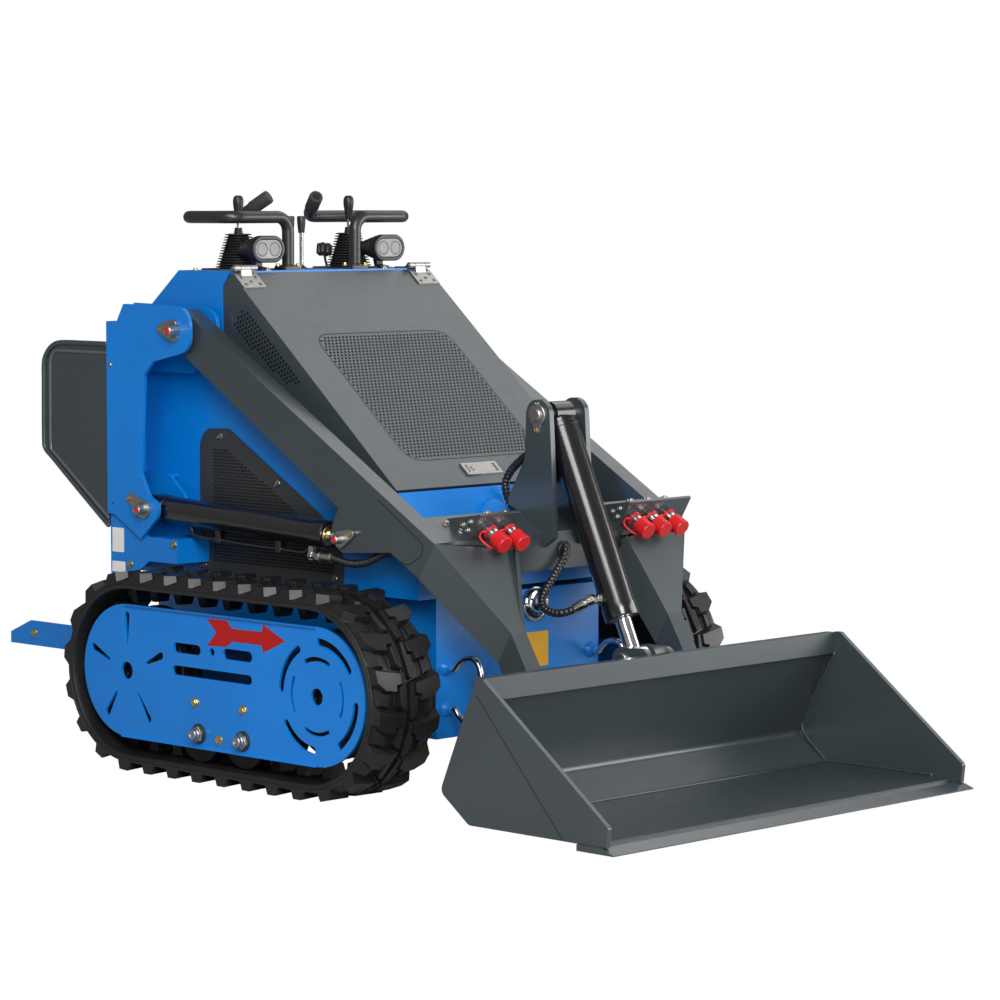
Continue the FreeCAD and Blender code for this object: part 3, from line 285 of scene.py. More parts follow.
# ------------------------------------------------------------------ places and mesh building
class Place:
    """A flat place on the machine, in stations: two directions along it and one off it."""

    def __init__(self, origin, along, up, out):
        self.origin = Vector(origin)
        self.along = Vector(along).normalized()
        self.up = Vector(up).normalized()
        self.out = Vector(out).normalized()

    def station(self, a, b, c=0.0):
        return self.origin + self.along * a + self.up * b + self.out * c

    def point(self, a, b, c=0.0):
        return at(*self.station(a, b, c))


def side_face(sign, y):
    """An upright face that looks to one side: a is the station x, b the height."""
    return Place((0.0, sign * y, 0.0), (1, 0, 0), (0, 0, 1), (0, sign, 0))


def front_face(x):
    """An upright face that looks forward: a is y, b the height."""
    return Place((x, 0.0, 0.0), (0, 1, 0), (0, 0, 1), (1, 0, 0))


def top_face(z):
    """A level face: a is the station x, b is y."""
    return Place((0.0, 0.0, z), (1, 0, 0), (0, 1, 0), (0, 0, 1))


def axis_place(start, end, a_hint=(0, 1, 0)):
    """A place whose out direction runs from one station point to another."""
    out = (Vector(end) - Vector(start)).normalized()
    along = Vector(a_hint)
    along = (along - out * along.dot(out)).normalized()
    return Place(start, along, out.cross(along), out)


HOOD = Place((94.0, 0.0, 994.0), (0, 1, 0), (477, 0, -411), (411, 0, 477))
PANEL = Place((574.0, 0.0, 578.0), (0, 1, 0), (57, 0, -108), (108, 0, 57))


def ring_of(a, b, radius, sides=32, turn=0.0):
    """Pairs evenly spaced round a circle, from an angle in radians."""
    points = []
    for i in range(sides):
        angle = turn + 2.0 * math.pi * i / sides
        points.append((a + radius * math.cos(angle), b + radius * math.sin(angle)))
    return points


def arc_line(a, b, radius, start, end, steps=10):
    """Pairs along an arc, with its angles in degrees."""
    line = []
    for i in range(steps + 1):
        angle = math.radians(start + (end - start) * i / steps)
        line.append((a + radius * math.cos(angle), b + radius * math.sin(angle)))
    return line


def circle(place, a, b, c, radius, sides, turn=0.0):
    return [place.point(x, z, c) for x, z in ring_of(a, b, radius, sides, turn)]


def bridge(bm, low, high):
    """Faces between two closed rows of vertices; a row of one is a point."""
    count = max(len(low), len(high))
    for i in range(count):
        j = (i + 1) % count
        if len(low) == 1:
            bm.faces.new((low[0], high[j], high[i]))
        elif len(high) == 1:
            bm.faces.new((low[i], low[j], high[0]))
        else:
            bm.faces.new((low[i], low[j], high[j], high[i]))


def rows_to_faces(bm, rows):
    """Joins rows of points into a skin, closed at both ends."""
    made = [[bm.verts.new(point) for point in row] for row in rows]
    for low, high in zip(made, made[1:]):
        bridge(bm, low, high)
    if len(made[0]) > 2:
        bm.faces.new(list(reversed(made[0])))
    if len(made[-1]) > 2:
        bm.faces.new(made[-1])


def prism(bm, place, outline, low, high, chamfer=0.0):
    """A plate with an outline in the place, between two heights, chamfered round its top."""
    rows = [[place.point(a, b, low) for a, b in outline]]
    if chamfer > 0.0:
        rows.append([place.point(a, b, high - chamfer) for a, b in outline])
        rows.append([place.point(a, b, high) for a, b in inset(outline, chamfer)])
    else:
        rows.append([place.point(a, b, high) for a, b in outline])
    rows_to_faces(bm, rows)


def turned_area(outline):
    total = 0.0
    for (a0, b0), (a1, b1) in zip(outline, outline[1:] + outline[:1]):
        total += a0 * b1 - a1 * b0
    return total / 2.0


def inset(outline, distance):
    """The outline moved inward by a distance."""
    turn = 1.0 if turned_area(outline) > 0.0 else -1.0
    moved = []
    for i, here in enumerate(outline):
        before = Vector(outline[i - 1])
        after = Vector(outline[(i + 1) % len(outline)])
        here = Vector(here)
        arriving = (here - before).normalized()
        leaving = (after - here).normalized()
        normal = Vector((-(arriving.y + leaving.y), arriving.x + leaving.x)) * turn
        normal.normalize()
        cosine = max(normal.dot(Vector((-arriving.y, arriving.x)) * turn), 0.35)
        moved.append(tuple(here + normal * (distance / cosine)))
    return moved


def rounded(outline, radius, steps=5):
    """The outline with every corner rounded."""
    points = []
    for i, here in enumerate(outline):
        before = Vector(outline[i - 1])
        after = Vector(outline[(i + 1) % len(outline)])
        here = Vector(here)
        back, on = before - here, after - here
        reach = min(radius, back.length * 0.48, on.length * 0.48)
        start, end = here + back.normalized() * reach, here + on.normalized() * reach
        for step in range(steps + 1):
            t = step / steps
            points.append(tuple(start * (1 - t) ** 2 + here * 2 * t * (1 - t) + end * t ** 2))
    return points


def rectangle(a0, a1, b0, b1):
    return [(a0, b0), (a1, b0), (a1, b1), (a0, b1)]


def lathe(bm, place, a, b, profile, sides=24, turn=0.0):
    """A round piece off the place at (a, b); its profile is pairs of radius and height."""
    rows = []
    for radius, height in profile:
        if radius <= 0.0:
            rows.append([place.point(a, b, height)])
        else:
            rows.append(circle(place, a, b, height, radius, sides, turn))
    rows_to_faces(bm, rows)


def hex_bolt(bm, place, a, b, across, height=None, washer=0.75, turn=0.3):
    """A hexagon head with its corners turned off, on a round washer."""
    height = across * 0.42 if height is None else height
    corner = across / math.sqrt(3.0)
    if washer > 0.0:
        lathe(bm, place, a, b, [(across * washer, -0.5), (across * washer, 1.2),
                                (across * washer - 0.6, 1.8), (across * 0.3, 1.8)], 28)
    low = 1.6 if washer > 0.0 else -0.5
    lathe(bm, place, a, b, [(corner, low), (corner, low + height * 0.82),
                            (corner * 0.84, low + height), (corner * 0.5, low + height),
                            (corner * 0.46, low + height - 0.5), (0, low + height - 0.5)], 6, turn)


def spline(points, spacing):
    """A smooth line through station points, as evenly spaced points in the row frame."""
    controls = [Vector(p) for p in points]
    controls = [controls[0] * 2 - controls[1]] + controls + [controls[-1] * 2 - controls[-2]]
    dense = []
    for p0, p1, p2, p3 in zip(controls, controls[1:], controls[2:], controls[3:]):
        steps = 40
        for step in range(steps):
            t = step / steps
            dense.append(0.5 * (2 * p1 + (p2 - p0) * t + (2 * p0 - 5 * p1 + 4 * p2 - p3) * t * t
                                + (3 * p1 - p0 - 3 * p2 + p3) * t ** 3))
    dense.append(controls[-2])
    lengths = [0.0]
    for a, b in zip(dense, dense[1:]):
        lengths.append(lengths[-1] + (b - a).length)
    count = max(2, round(lengths[-1] / spacing))
    line, index = [], 0
    for step in range(count + 1):
        target = lengths[-1] * step / count
        while index < len(dense) - 2 and lengths[index + 1] < target:
            index += 1
        span = max(lengths[index + 1] - lengths[index], 1e-9)
        t = (target - lengths[index]) / span
        line.append(at(*dense[index].lerp(dense[index + 1], t)))
    return line


def bends(points, radius, spacing):
    """Straight runs through station points joined by tangent arcs, as row points."""
    corners = [Vector(p) for p in points]
    line = [corners[0]]
    for before, corner, after in zip(corners, corners[1:], corners[2:]):
        arriving, leaving = (corner - before).normalized(), (after - corner).normalized()
        turn = arriving.angle(leaving)
        reach = radius * math.tan(turn / 2.0)
        start = corner - arriving * reach
        side = (leaving - arriving * leaving.dot(arriving)).normalized()
        centre = start + side * radius
        steps = max(4, round(radius * turn / spacing))
        for step in range(steps + 1):
            angle = turn * step / steps
            line.append(centre - side * radius * math.cos(angle)
                        + arriving * radius * math.sin(angle))
    line.append(corners[-1])
    return [at(*point) for point in line]


def line_length(line):
    return sum((b - a).length for a, b in zip(line, line[1:]))


def sweep(bm, line, radius, sides=14, round_ends=False):
    """A tube along a line of row points; radius is in millimetres, or one for each point."""
    radii = radius if isinstance(radius, list) else [radius] * len(line)
    tangent = (line[1] - line[0]).normalized()
    normal = tangent.orthogonal().normalized()
    rows = []
    for i, here in enumerate(line):
        ahead = line[min(i + 1, len(line) - 1)] - line[max(i - 1, 0)]
        ahead.normalize()
        normal = (normal - ahead * normal.dot(ahead)).normalized()
        other = ahead.cross(normal)
        row = []
        for side in range(sides):
            angle = 2.0 * math.pi * side / sides
            row.append(here + (normal * math.cos(angle) + other * math.sin(angle))
                       * (radii[i] / 1000.0))
        rows.append(row)
    if round_ends:
        first, last = line[0], line[-1]
        back = (line[0] - line[1]).normalized() * (radii[0] / 2000.0)
        on = (line[-1] - line[-2]).normalized() * (radii[-1] / 2000.0)
        rows.insert(0, [first + back + (p - first) * 0.6 for p in rows[0]])
        rows.append([last + on + (p - last) * 0.6 for p in rows[-1]])
    rows_to_faces(bm, rows)


def ripple(line, radius, depth, pitch):
    """Radii that rise and fall along a line, for a wrapped or corrugated hose."""
    total = line_length(line) * 1000.0
    waves = max(1, round(total / pitch))
    return [radius - depth * 0.5 + depth * 0.5 * math.cos(2 * math.pi * waves * i / (len(line) - 1))
            for i in range(len(line))]


def weld(bm, points, spacing, radius, depth, pitch):
    """A rippled weld bead along a smooth line through station points."""
    line = spline(points, spacing)
    sweep(bm, line, ripple(line, radius, depth, pitch), 8, True)


SHARP_DEGREES = 35.0
BEVEL_DEGREES = 30.0


def piece(name, bm, material, body, bevel=0.0, replaces=()):
    """Turns a bmesh into a shaded object that rides on a body."""
    bmesh.ops.recalc_face_normals(bm, faces=bm.faces)
    mesh = bpy.data.meshes.new(name)
    bm.to_mesh(mesh)
    bm.free()
    mesh.materials.append(material)
    for face in mesh.polygons:
        face.use_smooth = True
    mesh.set_sharp_from_angle(angle=math.radians(SHARP_DEGREES))
    obj = bpy.data.objects.new(name, mesh)
    bpy.context.collection.objects.link(obj)
    if bevel > 0.0:
        modifier = obj.modifiers.new("bevel", "BEVEL")
        modifier.width = bevel / 1000.0
        modifier.segments = 2
        modifier.limit_method = "ANGLE"
        modifier.angle_limit = math.radians(BEVEL_DEGREES)
        modifier.harden_normals = True
    if body:
        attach(obj, body)
    if replaces:
        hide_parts(*replaces)
    return obj


def inside(point, polygon):
    a, b = point
    hit = False
    for (a0, b0), (a1, b1) in zip(polygon, polygon[1:] + polygon[:1]):
        if (b0 > b) != (b1 > b) and a < a0 + (a1 - a0) * (b - b0) / (b1 - b0):
            hit = not hit
    return hit


HOLE_LIFT = 0.35
GROOVE_LIFT = 0.3


def perforation(bm, place, polygon, pitch, radius, heading=0.0):
    """Staggered rows of round holes inside an outline, as dark discs on the sheet."""
    run = Vector((math.cos(heading), math.sin(heading)))
    cross = Vector((-run.y, run.x))
    middle = Vector((sum(p[0] for p in polygon), sum(p[1] for p in polygon))) / len(polygon)
    reach = max((Vector(p) - middle).length for p in polygon)
    row_pitch = pitch * math.sqrt(0.75)
    rows = int(reach / row_pitch) + 1
    columns = int(reach / pitch) + 1
    for j in range(-rows, rows + 1):
        for i in range(-columns, columns + 1):
            spot = middle + run * ((i + 0.5 * (j % 2)) * pitch) + cross * (j * row_pitch)
            if not inside(tuple(spot), polygon):
                continue
            rim = [bm.verts.new(p) for p in circle(place, spot.x, spot.y, HOLE_LIFT, radius, 8)]
            bm.faces.new(rim)


def groove(bm, place, outline, width):
    """A thin closed band along an outline, lying on the sheet."""
    outer = [bm.verts.new(place.point(a, b, GROOVE_LIFT)) for a, b in outline]
    inner = [bm.verts.new(place.point(a, b, GROOVE_LIFT)) for a, b in inset(outline, width)]
    bridge(bm, outer, inner)

# ------------------------------------------------------------------ tracks
AXLE_Z = 200.5
AXLE_SPACING = 560.0
BELT_START = 14.5
BELT_RUN = 531.0
BELT_RADIUS = 182.0
BELT_THICKNESS = 16.0
TRACK_Y = 410.0
TRACK_SQUEEZE = 84.0 / 90.0
LOOP = 2.0 * BELT_RUN + 2.0 * math.pi * BELT_RADIUS
PITCHES = 30


def loop_point(distance, offset):
    """A point on the belt's loop and the way outward there, both as (x, z)."""
    s = distance % LOOP
    arc = math.pi * BELT_RADIUS
    radius = BELT_RADIUS + offset
    end = BELT_START + BELT_RUN
    if s < BELT_RUN:
        return (BELT_START + s, AXLE_Z + radius)
    s -= BELT_RUN
    if s < arc:
        angle = math.pi / 2.0 - s / BELT_RADIUS
        return (end + radius * math.cos(angle), AXLE_Z + radius * math.sin(angle))
    s -= arc
    if s < BELT_RUN:
        return (end - s, AXLE_Z - radius)
    s -= BELT_RUN
    angle = -math.pi / 2.0 - s / BELT_RADIUS
    return (BELT_START + radius * math.cos(angle), AXLE_Z + radius * math.sin(angle))


def on_belt(sign, distance, across, offset):
    """A row point on the belt; across is measured outward from the track's middle."""
    x, z = loop_point(distance, offset)
    return at(x, sign * (TRACK_Y + across * TRACK_SQUEEZE), z)


def belt_stations():
    """Distances along the loop: sparse on the runs, dense round the wheels."""
    arc = math.pi * BELT_RADIUS
    stations = []
    for start in (0.0, BELT_RUN + arc):
        stations += [start + BELT_RUN * i / 10.0 for i in range(10)]
        stations += [start + BELT_RUN + arc * i / 30.0 for i in range(30)]
    return stations


BELT_SECTION = [(-83.0, -16.0), (-88.0, -14.5), (-90.0, -11.0), (-90.0, -6.6), (-89.0, -6.2),
                (-89.0, -5.4), (-90.0, -5.0), (-89.8, -1.0), (-88.6, 0.0), (-6.5, 0.0),
                (-5.0, 5.0), (-2.6, 5.0), (-1.8, 0.6), (1.8, 0.6), (2.6, 5.0), (5.0, 5.0),
                (6.5, 0.0), (88.6, 0.0), (89.8, -1.0), (90.0, -5.0), (89.0, -5.4),
                (89.0, -6.2), (90.0, -6.6), (90.0, -11.0), (88.0, -14.5), (83.0, -16.0)]


def belt(bm, sign):
    rings = []
    for distance in belt_stations():
        rings.append([bm.verts.new(on_belt(sign, distance, w, h)) for w, h in BELT_SECTION])
    for low, high in zip(rings, rings[1:] + rings[:1]):
        bridge(bm, low, high)


def block(bm, sign, start, side, foot, top, low, high):
    """A tapered rubber block; foot and top are (s, w) outlines, point for point."""
    rows = []
    for outline, height in ((foot, low), (top, high)):
        rows.append([on_belt(sign, start + s, side * w, height) for s, w in outline])
    rows_to_faces(bm, rows)


def tread_lug(bm, sign, start, side):
    """One hooked tread bar, and the block that fills in beside the middle groove."""
    block(bm, sign, start, side,
          [(5, 89), (45, 89), (61, 67), (64, 30), (46, 26), (44, 15), (24, 15), (14, 55)],
          [(19, 86), (41, 86), (56, 66), (60, 36), (49, 35), (47, 20), (29, 20), (24, 56)],
          -2.0, 18.5)
    block(bm, sign, start, side,
          [(46, 86), (82, 82), (92, 50), (56, 50)], [(64, 60), (84, 60), (88, 52), (62, 52)],
          -1.0, 9.0)
    block(bm, sign, start, side,
          [(48, 27), (88, 27), (96, 19), (96, 6), (24, 6), (24, 17), (48, 17)],
          [(52, 23), (84, 23), (92, 15), (92, 7), (28, 7), (28, 15), (52, 15)],
          -2.0, 15.5)


def drive_lug(bm, sign, start):
    block(bm, sign, start, 1, [(-16, 22), (16, 22), (16, -22), (-16, -22)],
          [(-7, 17), (7, 17), (7, -17), (-7, -17)], -BELT_THICKNESS + 3.0,
          -BELT_THICKNESS - 30.0)


def track(sign, name):
    bm = bmesh.new()
    belt(bm, sign)
    pitch = LOOP / PITCHES
    for i in range(PITCHES):
        tread_lug(bm, sign, i * pitch, 1)
        tread_lug(bm, sign, (i + 0.26) * pitch, -1)
        drive_lug(bm, sign, (i + 0.12) * pitch)
    piece("rubber_" + name, bm, track_rubber, "root", bevel=1.0, replaces=(name,))


track(-1, "track_right")
track(1, "track_left")

# ------------------------------------------------------------------ track covers
COVER_FACE = 478.5
COVER_RADIUS = 134.0
AXLE_NUTS = ((219.0, 95.0), (349.0, 94.0))
COVER_BOLTS = ((209.0, 156.0), (350.0, 155.0), (279.0, 89.0))


def cover_fasteners(sign):
    side = SIDES[sign]
    face = side_face(sign, COVER_FACE)
    washers, nuts, bolts = bmesh.new(), bmesh.new(), bmesh.new()
    for turn, (x, z) in enumerate(AXLE_NUTS):
        lathe(washers, face, x, z, [(20, -0.5), (20, 2.6), (19, 3.4), (9, 3.4)], 36)
        hex_bolt(nuts, face, x, z, 29.0, 9.0, 0.0, 0.3 + turn * 0.4)
        lathe(nuts, face, x, z, [(12.6, 7), (12.6, 12.0), (11.2, 13.6), (10.8, 13.0),
                                 (10.8, 18.5), (9.4, 20), (6.8, 20), (6.2, 19), (3.8, 19),
                                 (3.2, 18.2), (0, 18.2)], 32)
    for turn, (x, z) in enumerate(COVER_BOLTS):
        hex_bolt(bolts, face, x, z, 13.0, 5.6, 0.74, turn * 0.7)
    piece("axle_washers_" + side, washers, dark_steel, "root")
    piece("axle_nuts_" + side, nuts, zinc, "root", bevel=0.5)
    piece("cover_bolts_" + side, bolts, brass_bolt, "root", bevel=0.3)


def cover_arrow():
    """The plain red arrow on the right-hand cover."""
    bm = bmesh.new()
    outline = [(244, 325), (303, 326), (319, 311), (404, 312), (409, 327), (472, 299),
               (409, 272), (404, 286), (319, 286), (300, 274), (245, 272), (272, 300)]
    prism(bm, side_face(-1, COVER_FACE), outline, -0.2, 0.25)
    piece("cover_arrow", bm, red_label, "root")


def slotted_plate(bm, place, outline, holes, low, high):
    """A flat plate with through holes; every outline is a ring of points in the place."""
    rings = [outline] + holes
    points = [Vector(point) for ring in rings for point in ring]
    edges = []
    for ring in rings:
        first = len(edges)
        edges += [(first + i, first + (i + 1) % len(ring)) for i in range(len(ring))]
    points, _, faces = delaunay_2d_cdt(points, edges, [], 0, 1e-4)[:3]
    kept = []
    for corners in faces:
        middle = sum((points[i] for i in corners), Vector((0.0, 0.0))) / len(corners)
        if inside(tuple(middle), outline) and not any(inside(tuple(middle), h) for h in holes):
            kept.append(list(corners))
    sheets = [[bm.verts.new(place.point(p.x, p.y, c)) for p in points] for c in (low, high)]
    runs = set()
    for corners in kept:
        for sheet in sheets:
            bm.faces.new([sheet[i] for i in corners])
        runs.update(zip(corners, corners[1:] + corners[:1]))
    for i, j in runs:
        if (j, i) not in runs:
            bm.faces.new((sheets[0][i], sheets[0][j], sheets[1][j], sheets[1][i]))
    bmesh.ops.delete(bm, geom=[v for v in bm.verts if not v.link_faces], context="VERTS")


def round_slot(spine, radii):
    """A slot round a line of points, with a half-round at each end."""
    steps = 7
    line = [Vector(point) for point in spine]
    left, right = [], []
    for i, here in enumerate(line):
        run = (line[min(i + 1, len(line) - 1)] - line[max(i - 1, 0)]).normalized()
        normal = Vector((-run.y, run.x))
        radius = radii[0] + (radii[-1] - radii[0]) * i / (len(line) - 1)
        left.append(tuple(here + normal * radius))
        right.append(tuple(here - normal * radius))
    ends = []
    for here, other, radius in ((line[-1], line[-2], radii[-1]), (line[0], line[1], radii[0])):
        run = (here - other).normalized()
        heading = math.atan2(run.y, run.x)
        ends.append([(here.x + radius * math.cos(heading + math.pi * (0.5 - k / steps)),
                      here.y + radius * math.sin(heading + math.pi * (0.5 - k / steps)))
                     for k in range(1, steps)])
    return left + ends[0] + right[::-1] + ends[1]


def track_cover(sign):
    """The slotted outer plate, with a small flare along its top and bottom edges."""
    side = SIDES[sign]
    face = side_face(sign, COVER_FACE)
    outline = arc_line(AXLE_SPACING, AXLE_Z, COVER_RADIUS, -90.0, 90.0, 36)
    outline += arc_line(0.0, AXLE_Z, COVER_RADIUS, 90.0, 270.0, 36)
    holes = [ring_of(0.0, AXLE_Z, 17.5), ring_of(AXLE_SPACING, AXLE_Z, 16.5),
             ring_of(258.0, 260.0, 8.0, 20)]
    holes += [round_slot([(153, 260), (215, 260)], (10.0, 10.0)),
              round_slot([(301, 260), (366, 260)], (10.5, 10.5)),
              round_slot([(149, 215), (366, 215)], (9.5, 9.5))]
    for wide, narrow in (((1, 312), (1, 260)), ((-104, 240), (-55, 219)), ((104, 239), (60, 220)),
                         ((-61, 112), (-33, 154)), ((66, 109), (34, 156))):
        holes.append(round_slot([wide, narrow], (7.5, 2.6)))
    for radius, start, end, half in ((106.0, 86.0, 33.0, 7.2), (101.0, 121.0, 176.0, 7.0),
                                     (108.0, 356.0, 306.0, 7.2), (104.0, 214.0, 264.0, 7.2),
                                     (72.5, 116.0, 64.0, 4.2), (72.0, 26.0, -26.0, 3.0),
                                     (71.5, 154.0, 206.0, 3.4), (71.5, 244.0, 296.0, 3.6)):
        line = arc_line(AXLE_SPACING, AXLE_Z, radius, start, end)
        holes.append(round_slot(line, (half, half)))
    bm = bmesh.new()
    slotted_plate(bm, face, outline, holes, -6.0, 0.0)
    for up, x0 in ((1.0, 0.0), (-1.0, -14.0)):
        z = AXLE_Z + up * COVER_RADIUS
        rows = []
        for x in (x0, AXLE_SPACING):
            rows.append([face.point(x, z - up * 8.0, -1.0), face.point(x, z - up * 7.4, 0.1),
                         face.point(x, z - up * 1.6, 5.6), face.point(x, z + up * 0.4, 5.4),
                         face.point(x, z + up * 0.4, -2.0)])
        rows_to_faces(bm, rows)
    piece("cover_plate_" + side, bm, blue, "root", replaces=("track_cover_" + side,))


for sign in SIDES:
    track_cover(sign)
    cover_fasteners(sign)
cover_arrow()


def wheel_details(sign):
    """The two wheels of a track, each dished on both faces, with six bolts round the hub."""
    side = SIDES[sign]
    wheels, bolts = bmesh.new(), bmesh.new()
    for x in (0.0, AXLE_SPACING):
        for out in (-1.0, 1.0):
            face = Place((0, sign * TRACK_Y, 0), (1, 0, 0), (0, 0, 1), (0, sign * out, 0))
            lathe(wheels, face, x, AXLE_Z, [(22, 6), (118, 6), (124, 9), (125, 14), (125, 26),
                                            (123, 29), (112, 29), (108, 24), (60, 21),
                                            (54, 32), (34, 33), (30, 42), (17, 43), (17, 8)], 48)
        face = side_face(sign, TRACK_Y + 32.5)
        for a, b in ring_of(x, AXLE_Z, 44.0, 6, math.radians(18.0)):
            hex_bolt(bolts, face, a, b, 13.0, 6.0, 0.0)
    piece("wheels_" + side, wheels, dark_steel, "root", bevel=0.8)
    piece("wheel_bolts_" + side, bolts, bare_steel, "root", bevel=0.3)


for sign in SIDES:
    wheel_details(sign)
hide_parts("drive_sprockets", "idler_wheels")

# ------------------------------------------------------------------ towers
TOWER_FACE = 374.5
SKIRT_FACE = 366.5


def round_each(circles):
    """The outline stretched round several circles, each given as (a, b, radius)."""
    points = {(round(x, 3), round(z, 3)) for a, b, radius in circles
              for x, z in ring_of(a, b, radius, 20)}
    ordered = sorted(points)
    halves = []
    for run in (ordered, ordered[::-1]):
        half = []
        for point in run:
            while len(half) > 1 and ((half[-1][0] - half[-2][0]) * (point[1] - half[-2][1])
                                     - (half[-1][1] - half[-2][1])
                                     * (point[0] - half[-2][0])) <= 0.0:
                half.pop()
            half.append(point)
        halves.append(half[:-1])
    return halves[0] + halves[1]


def keeper(bm, face, circles, thickness=5.0):
    """A flat keeper plate: round about a pin and running out to its bolt."""
    prism(bm, face, round_each(circles), -0.3, thickness, 0.6)


def pin_end(bm, dots, face, x, z, radius, height, dot=6.0):
    """A pin's end over its keeper, with a collar and a plain red plug."""
    lathe(bm, face, x, z, [(radius, 2), (radius, height - 1.5), (radius - 1.5, height),
                           (dot + 1.0, height), (dot + 0.6, height - 2.0), (0, height - 2.0)], 32)
    lathe(dots, face, x, z, [(dot, height - 2.2), (dot, height - 0.6), (dot * 0.6, height + 0.3),
                             (0, height + 0.4)], 20)


def grease_nipple(bm, face, x, z, height):
    lathe(bm, face, x, z, [(4.5, height - 0.5), (4.5, height + 3), (2.4, height + 3.4),
                           (2.4, height + 6), (3.2, height + 7), (2.4, height + 9.2),
                           (0, height + 9.6)], 14)


def tower_fittings(sign):
    side = SIDES[sign]
    face = side_face(sign, TOWER_FACE)
    skirt = side_face(sign, SKIRT_FACE)
    plates, dots, bolts, holes = bmesh.new(), bmesh.new(), bmesh.new(), bmesh.new()
    keeper(plates, face, ((-6, 882, 11), (30, 891, 12), (33, 869, 12)))
    keeper(plates, face, ((-106, 535, 11), (-66, 514, 19)))
    pin_end(plates, dots, face, 34, 880, 9.6, 23.0, 6.8)
    pin_end(plates, dots, face, -66, 514, 8.6, 21.5, 5.8)
    hex_bolt(bolts, face, -4, 882, 10.0, 10.0, 0.0)
    hex_bolt(bolts, face, -107, 535, 9.0, 10.0, 0.0)
    for x, z in ((17, 447), (-121, 398)):
        hex_bolt(bolts, skirt, x, z, 10.0, 4.4, 0.75)
    lathe(plates, face, -170, 805, [(5.0, -0.2), (5.0, 1.0), (3.6, 3.2), (0, 4.0)], 20)
    lathe(holes, face, -165, 521, [(2.0, -0.2), (2.0, 0.25), (0, 0.25)], 14)
    piece("tower_keepers_" + side, plates, zinc, "root", bevel=0.4)
    piece("tower_pin_plugs_" + side, dots, red_plastic, "root")
    piece("tower_bolts_" + side, bolts, brass_bolt, "root", bevel=0.3)
    piece("tower_holes_" + side, holes, shadow, "root")


for sign in SIDES:
    tower_fittings(sign)


def blank_label(name, place, a0, a1, b0, b1, radius, material):
    """A plain sticker with round corners."""
    bm = bmesh.new()
    prism(bm, place, rounded(rectangle(a0, a1, b0, b1), radius), -0.2, 0.3)
    piece(name, bm, material, "root")


blank_label("tower_label_high", side_face(-1, SKIRT_FACE), -178, -141, 421, 471, 2.0, white_label)
blank_label("tower_label_low", side_face(-1, SKIRT_FACE), -179, -137, 380, 402, 2.0, white_label)


def tower_seams(sign):
    """Weld beads along the tower's folded edges and its plates."""
    bm = bmesh.new()
    y = sign * (TOWER_FACE - 9.0)
    weld(bm, [(-181, y, 520), (-181, y, 705), (-181, y, 890)], 4.0, 3.4, 0.8, 5.0)
    y = sign * 281.0
    for z in (573.0, 789.0):
        weld(bm, [(-176, y, z), (-130, y, z), (-80, y, z)], 3.0, 3.2, 0.8, 5.0)
    piece("tower_welds_" + SIDES[sign], bm, blue, "root")


for sign in SIDES:
    tower_seams(sign)

# ------------------------------------------------------------------ side guards
def side_guard(sign):
    """A pressed sheet guard behind the tower: rolled edge, groove, bead and dished middle."""
    side = SIDES[sign]
    face = side_face(sign, TOWER_FACE)
    edge = [(-186, 852), (-259, 852), (-338, 851), (-369, 842), (-389, 824), (-398, 803),
            (-399, 758), (-400, 646), (-395, 620), (-368, 600), (-307, 555), (-242, 508),
            (-186, 468)]
    bead = [(-186, 829), (-300, 829), (-351, 829), (-363, 822), (-369, 812), (-372, 800),
            (-373, 731), (-373, 633), (-366, 619), (-350, 607), (-285, 561), (-186, 490)]
    rim = inset(edge, 5.0)
    rim[0], rim[-1] = (-186, 847), (-186, 474)
    y = sign * (TOWER_FACE - 5.2)
    bm = bmesh.new()
    prism(bm, face, inset(edge, 2.0), -22.0, -7.0, 1.5)
    prism(bm, face, bead, -8.0, -5.0, 1.5)
    sweep(bm, spline([(a, y, b) for a, b in rim], 7.0), 5.0, 16, True)
    piece("guard_sheet_" + side, bm, slate, "root", bevel=0.5)
    bm = bmesh.new()
    # The bead takes the lighter slate, so its highlight is painted into the colour.
    sweep(bm, spline([(a, y, b) for a, b in bead], 6.0), 3.6, 14, True)
    piece("guard_bead_" + side, bm, bead_painted_highlight, "root")


for sign in SIDES:
    side_guard(sign)
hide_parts("side_pads")

# ------------------------------------------------------------------ side grilles
GRILLE_FACE = 280.0


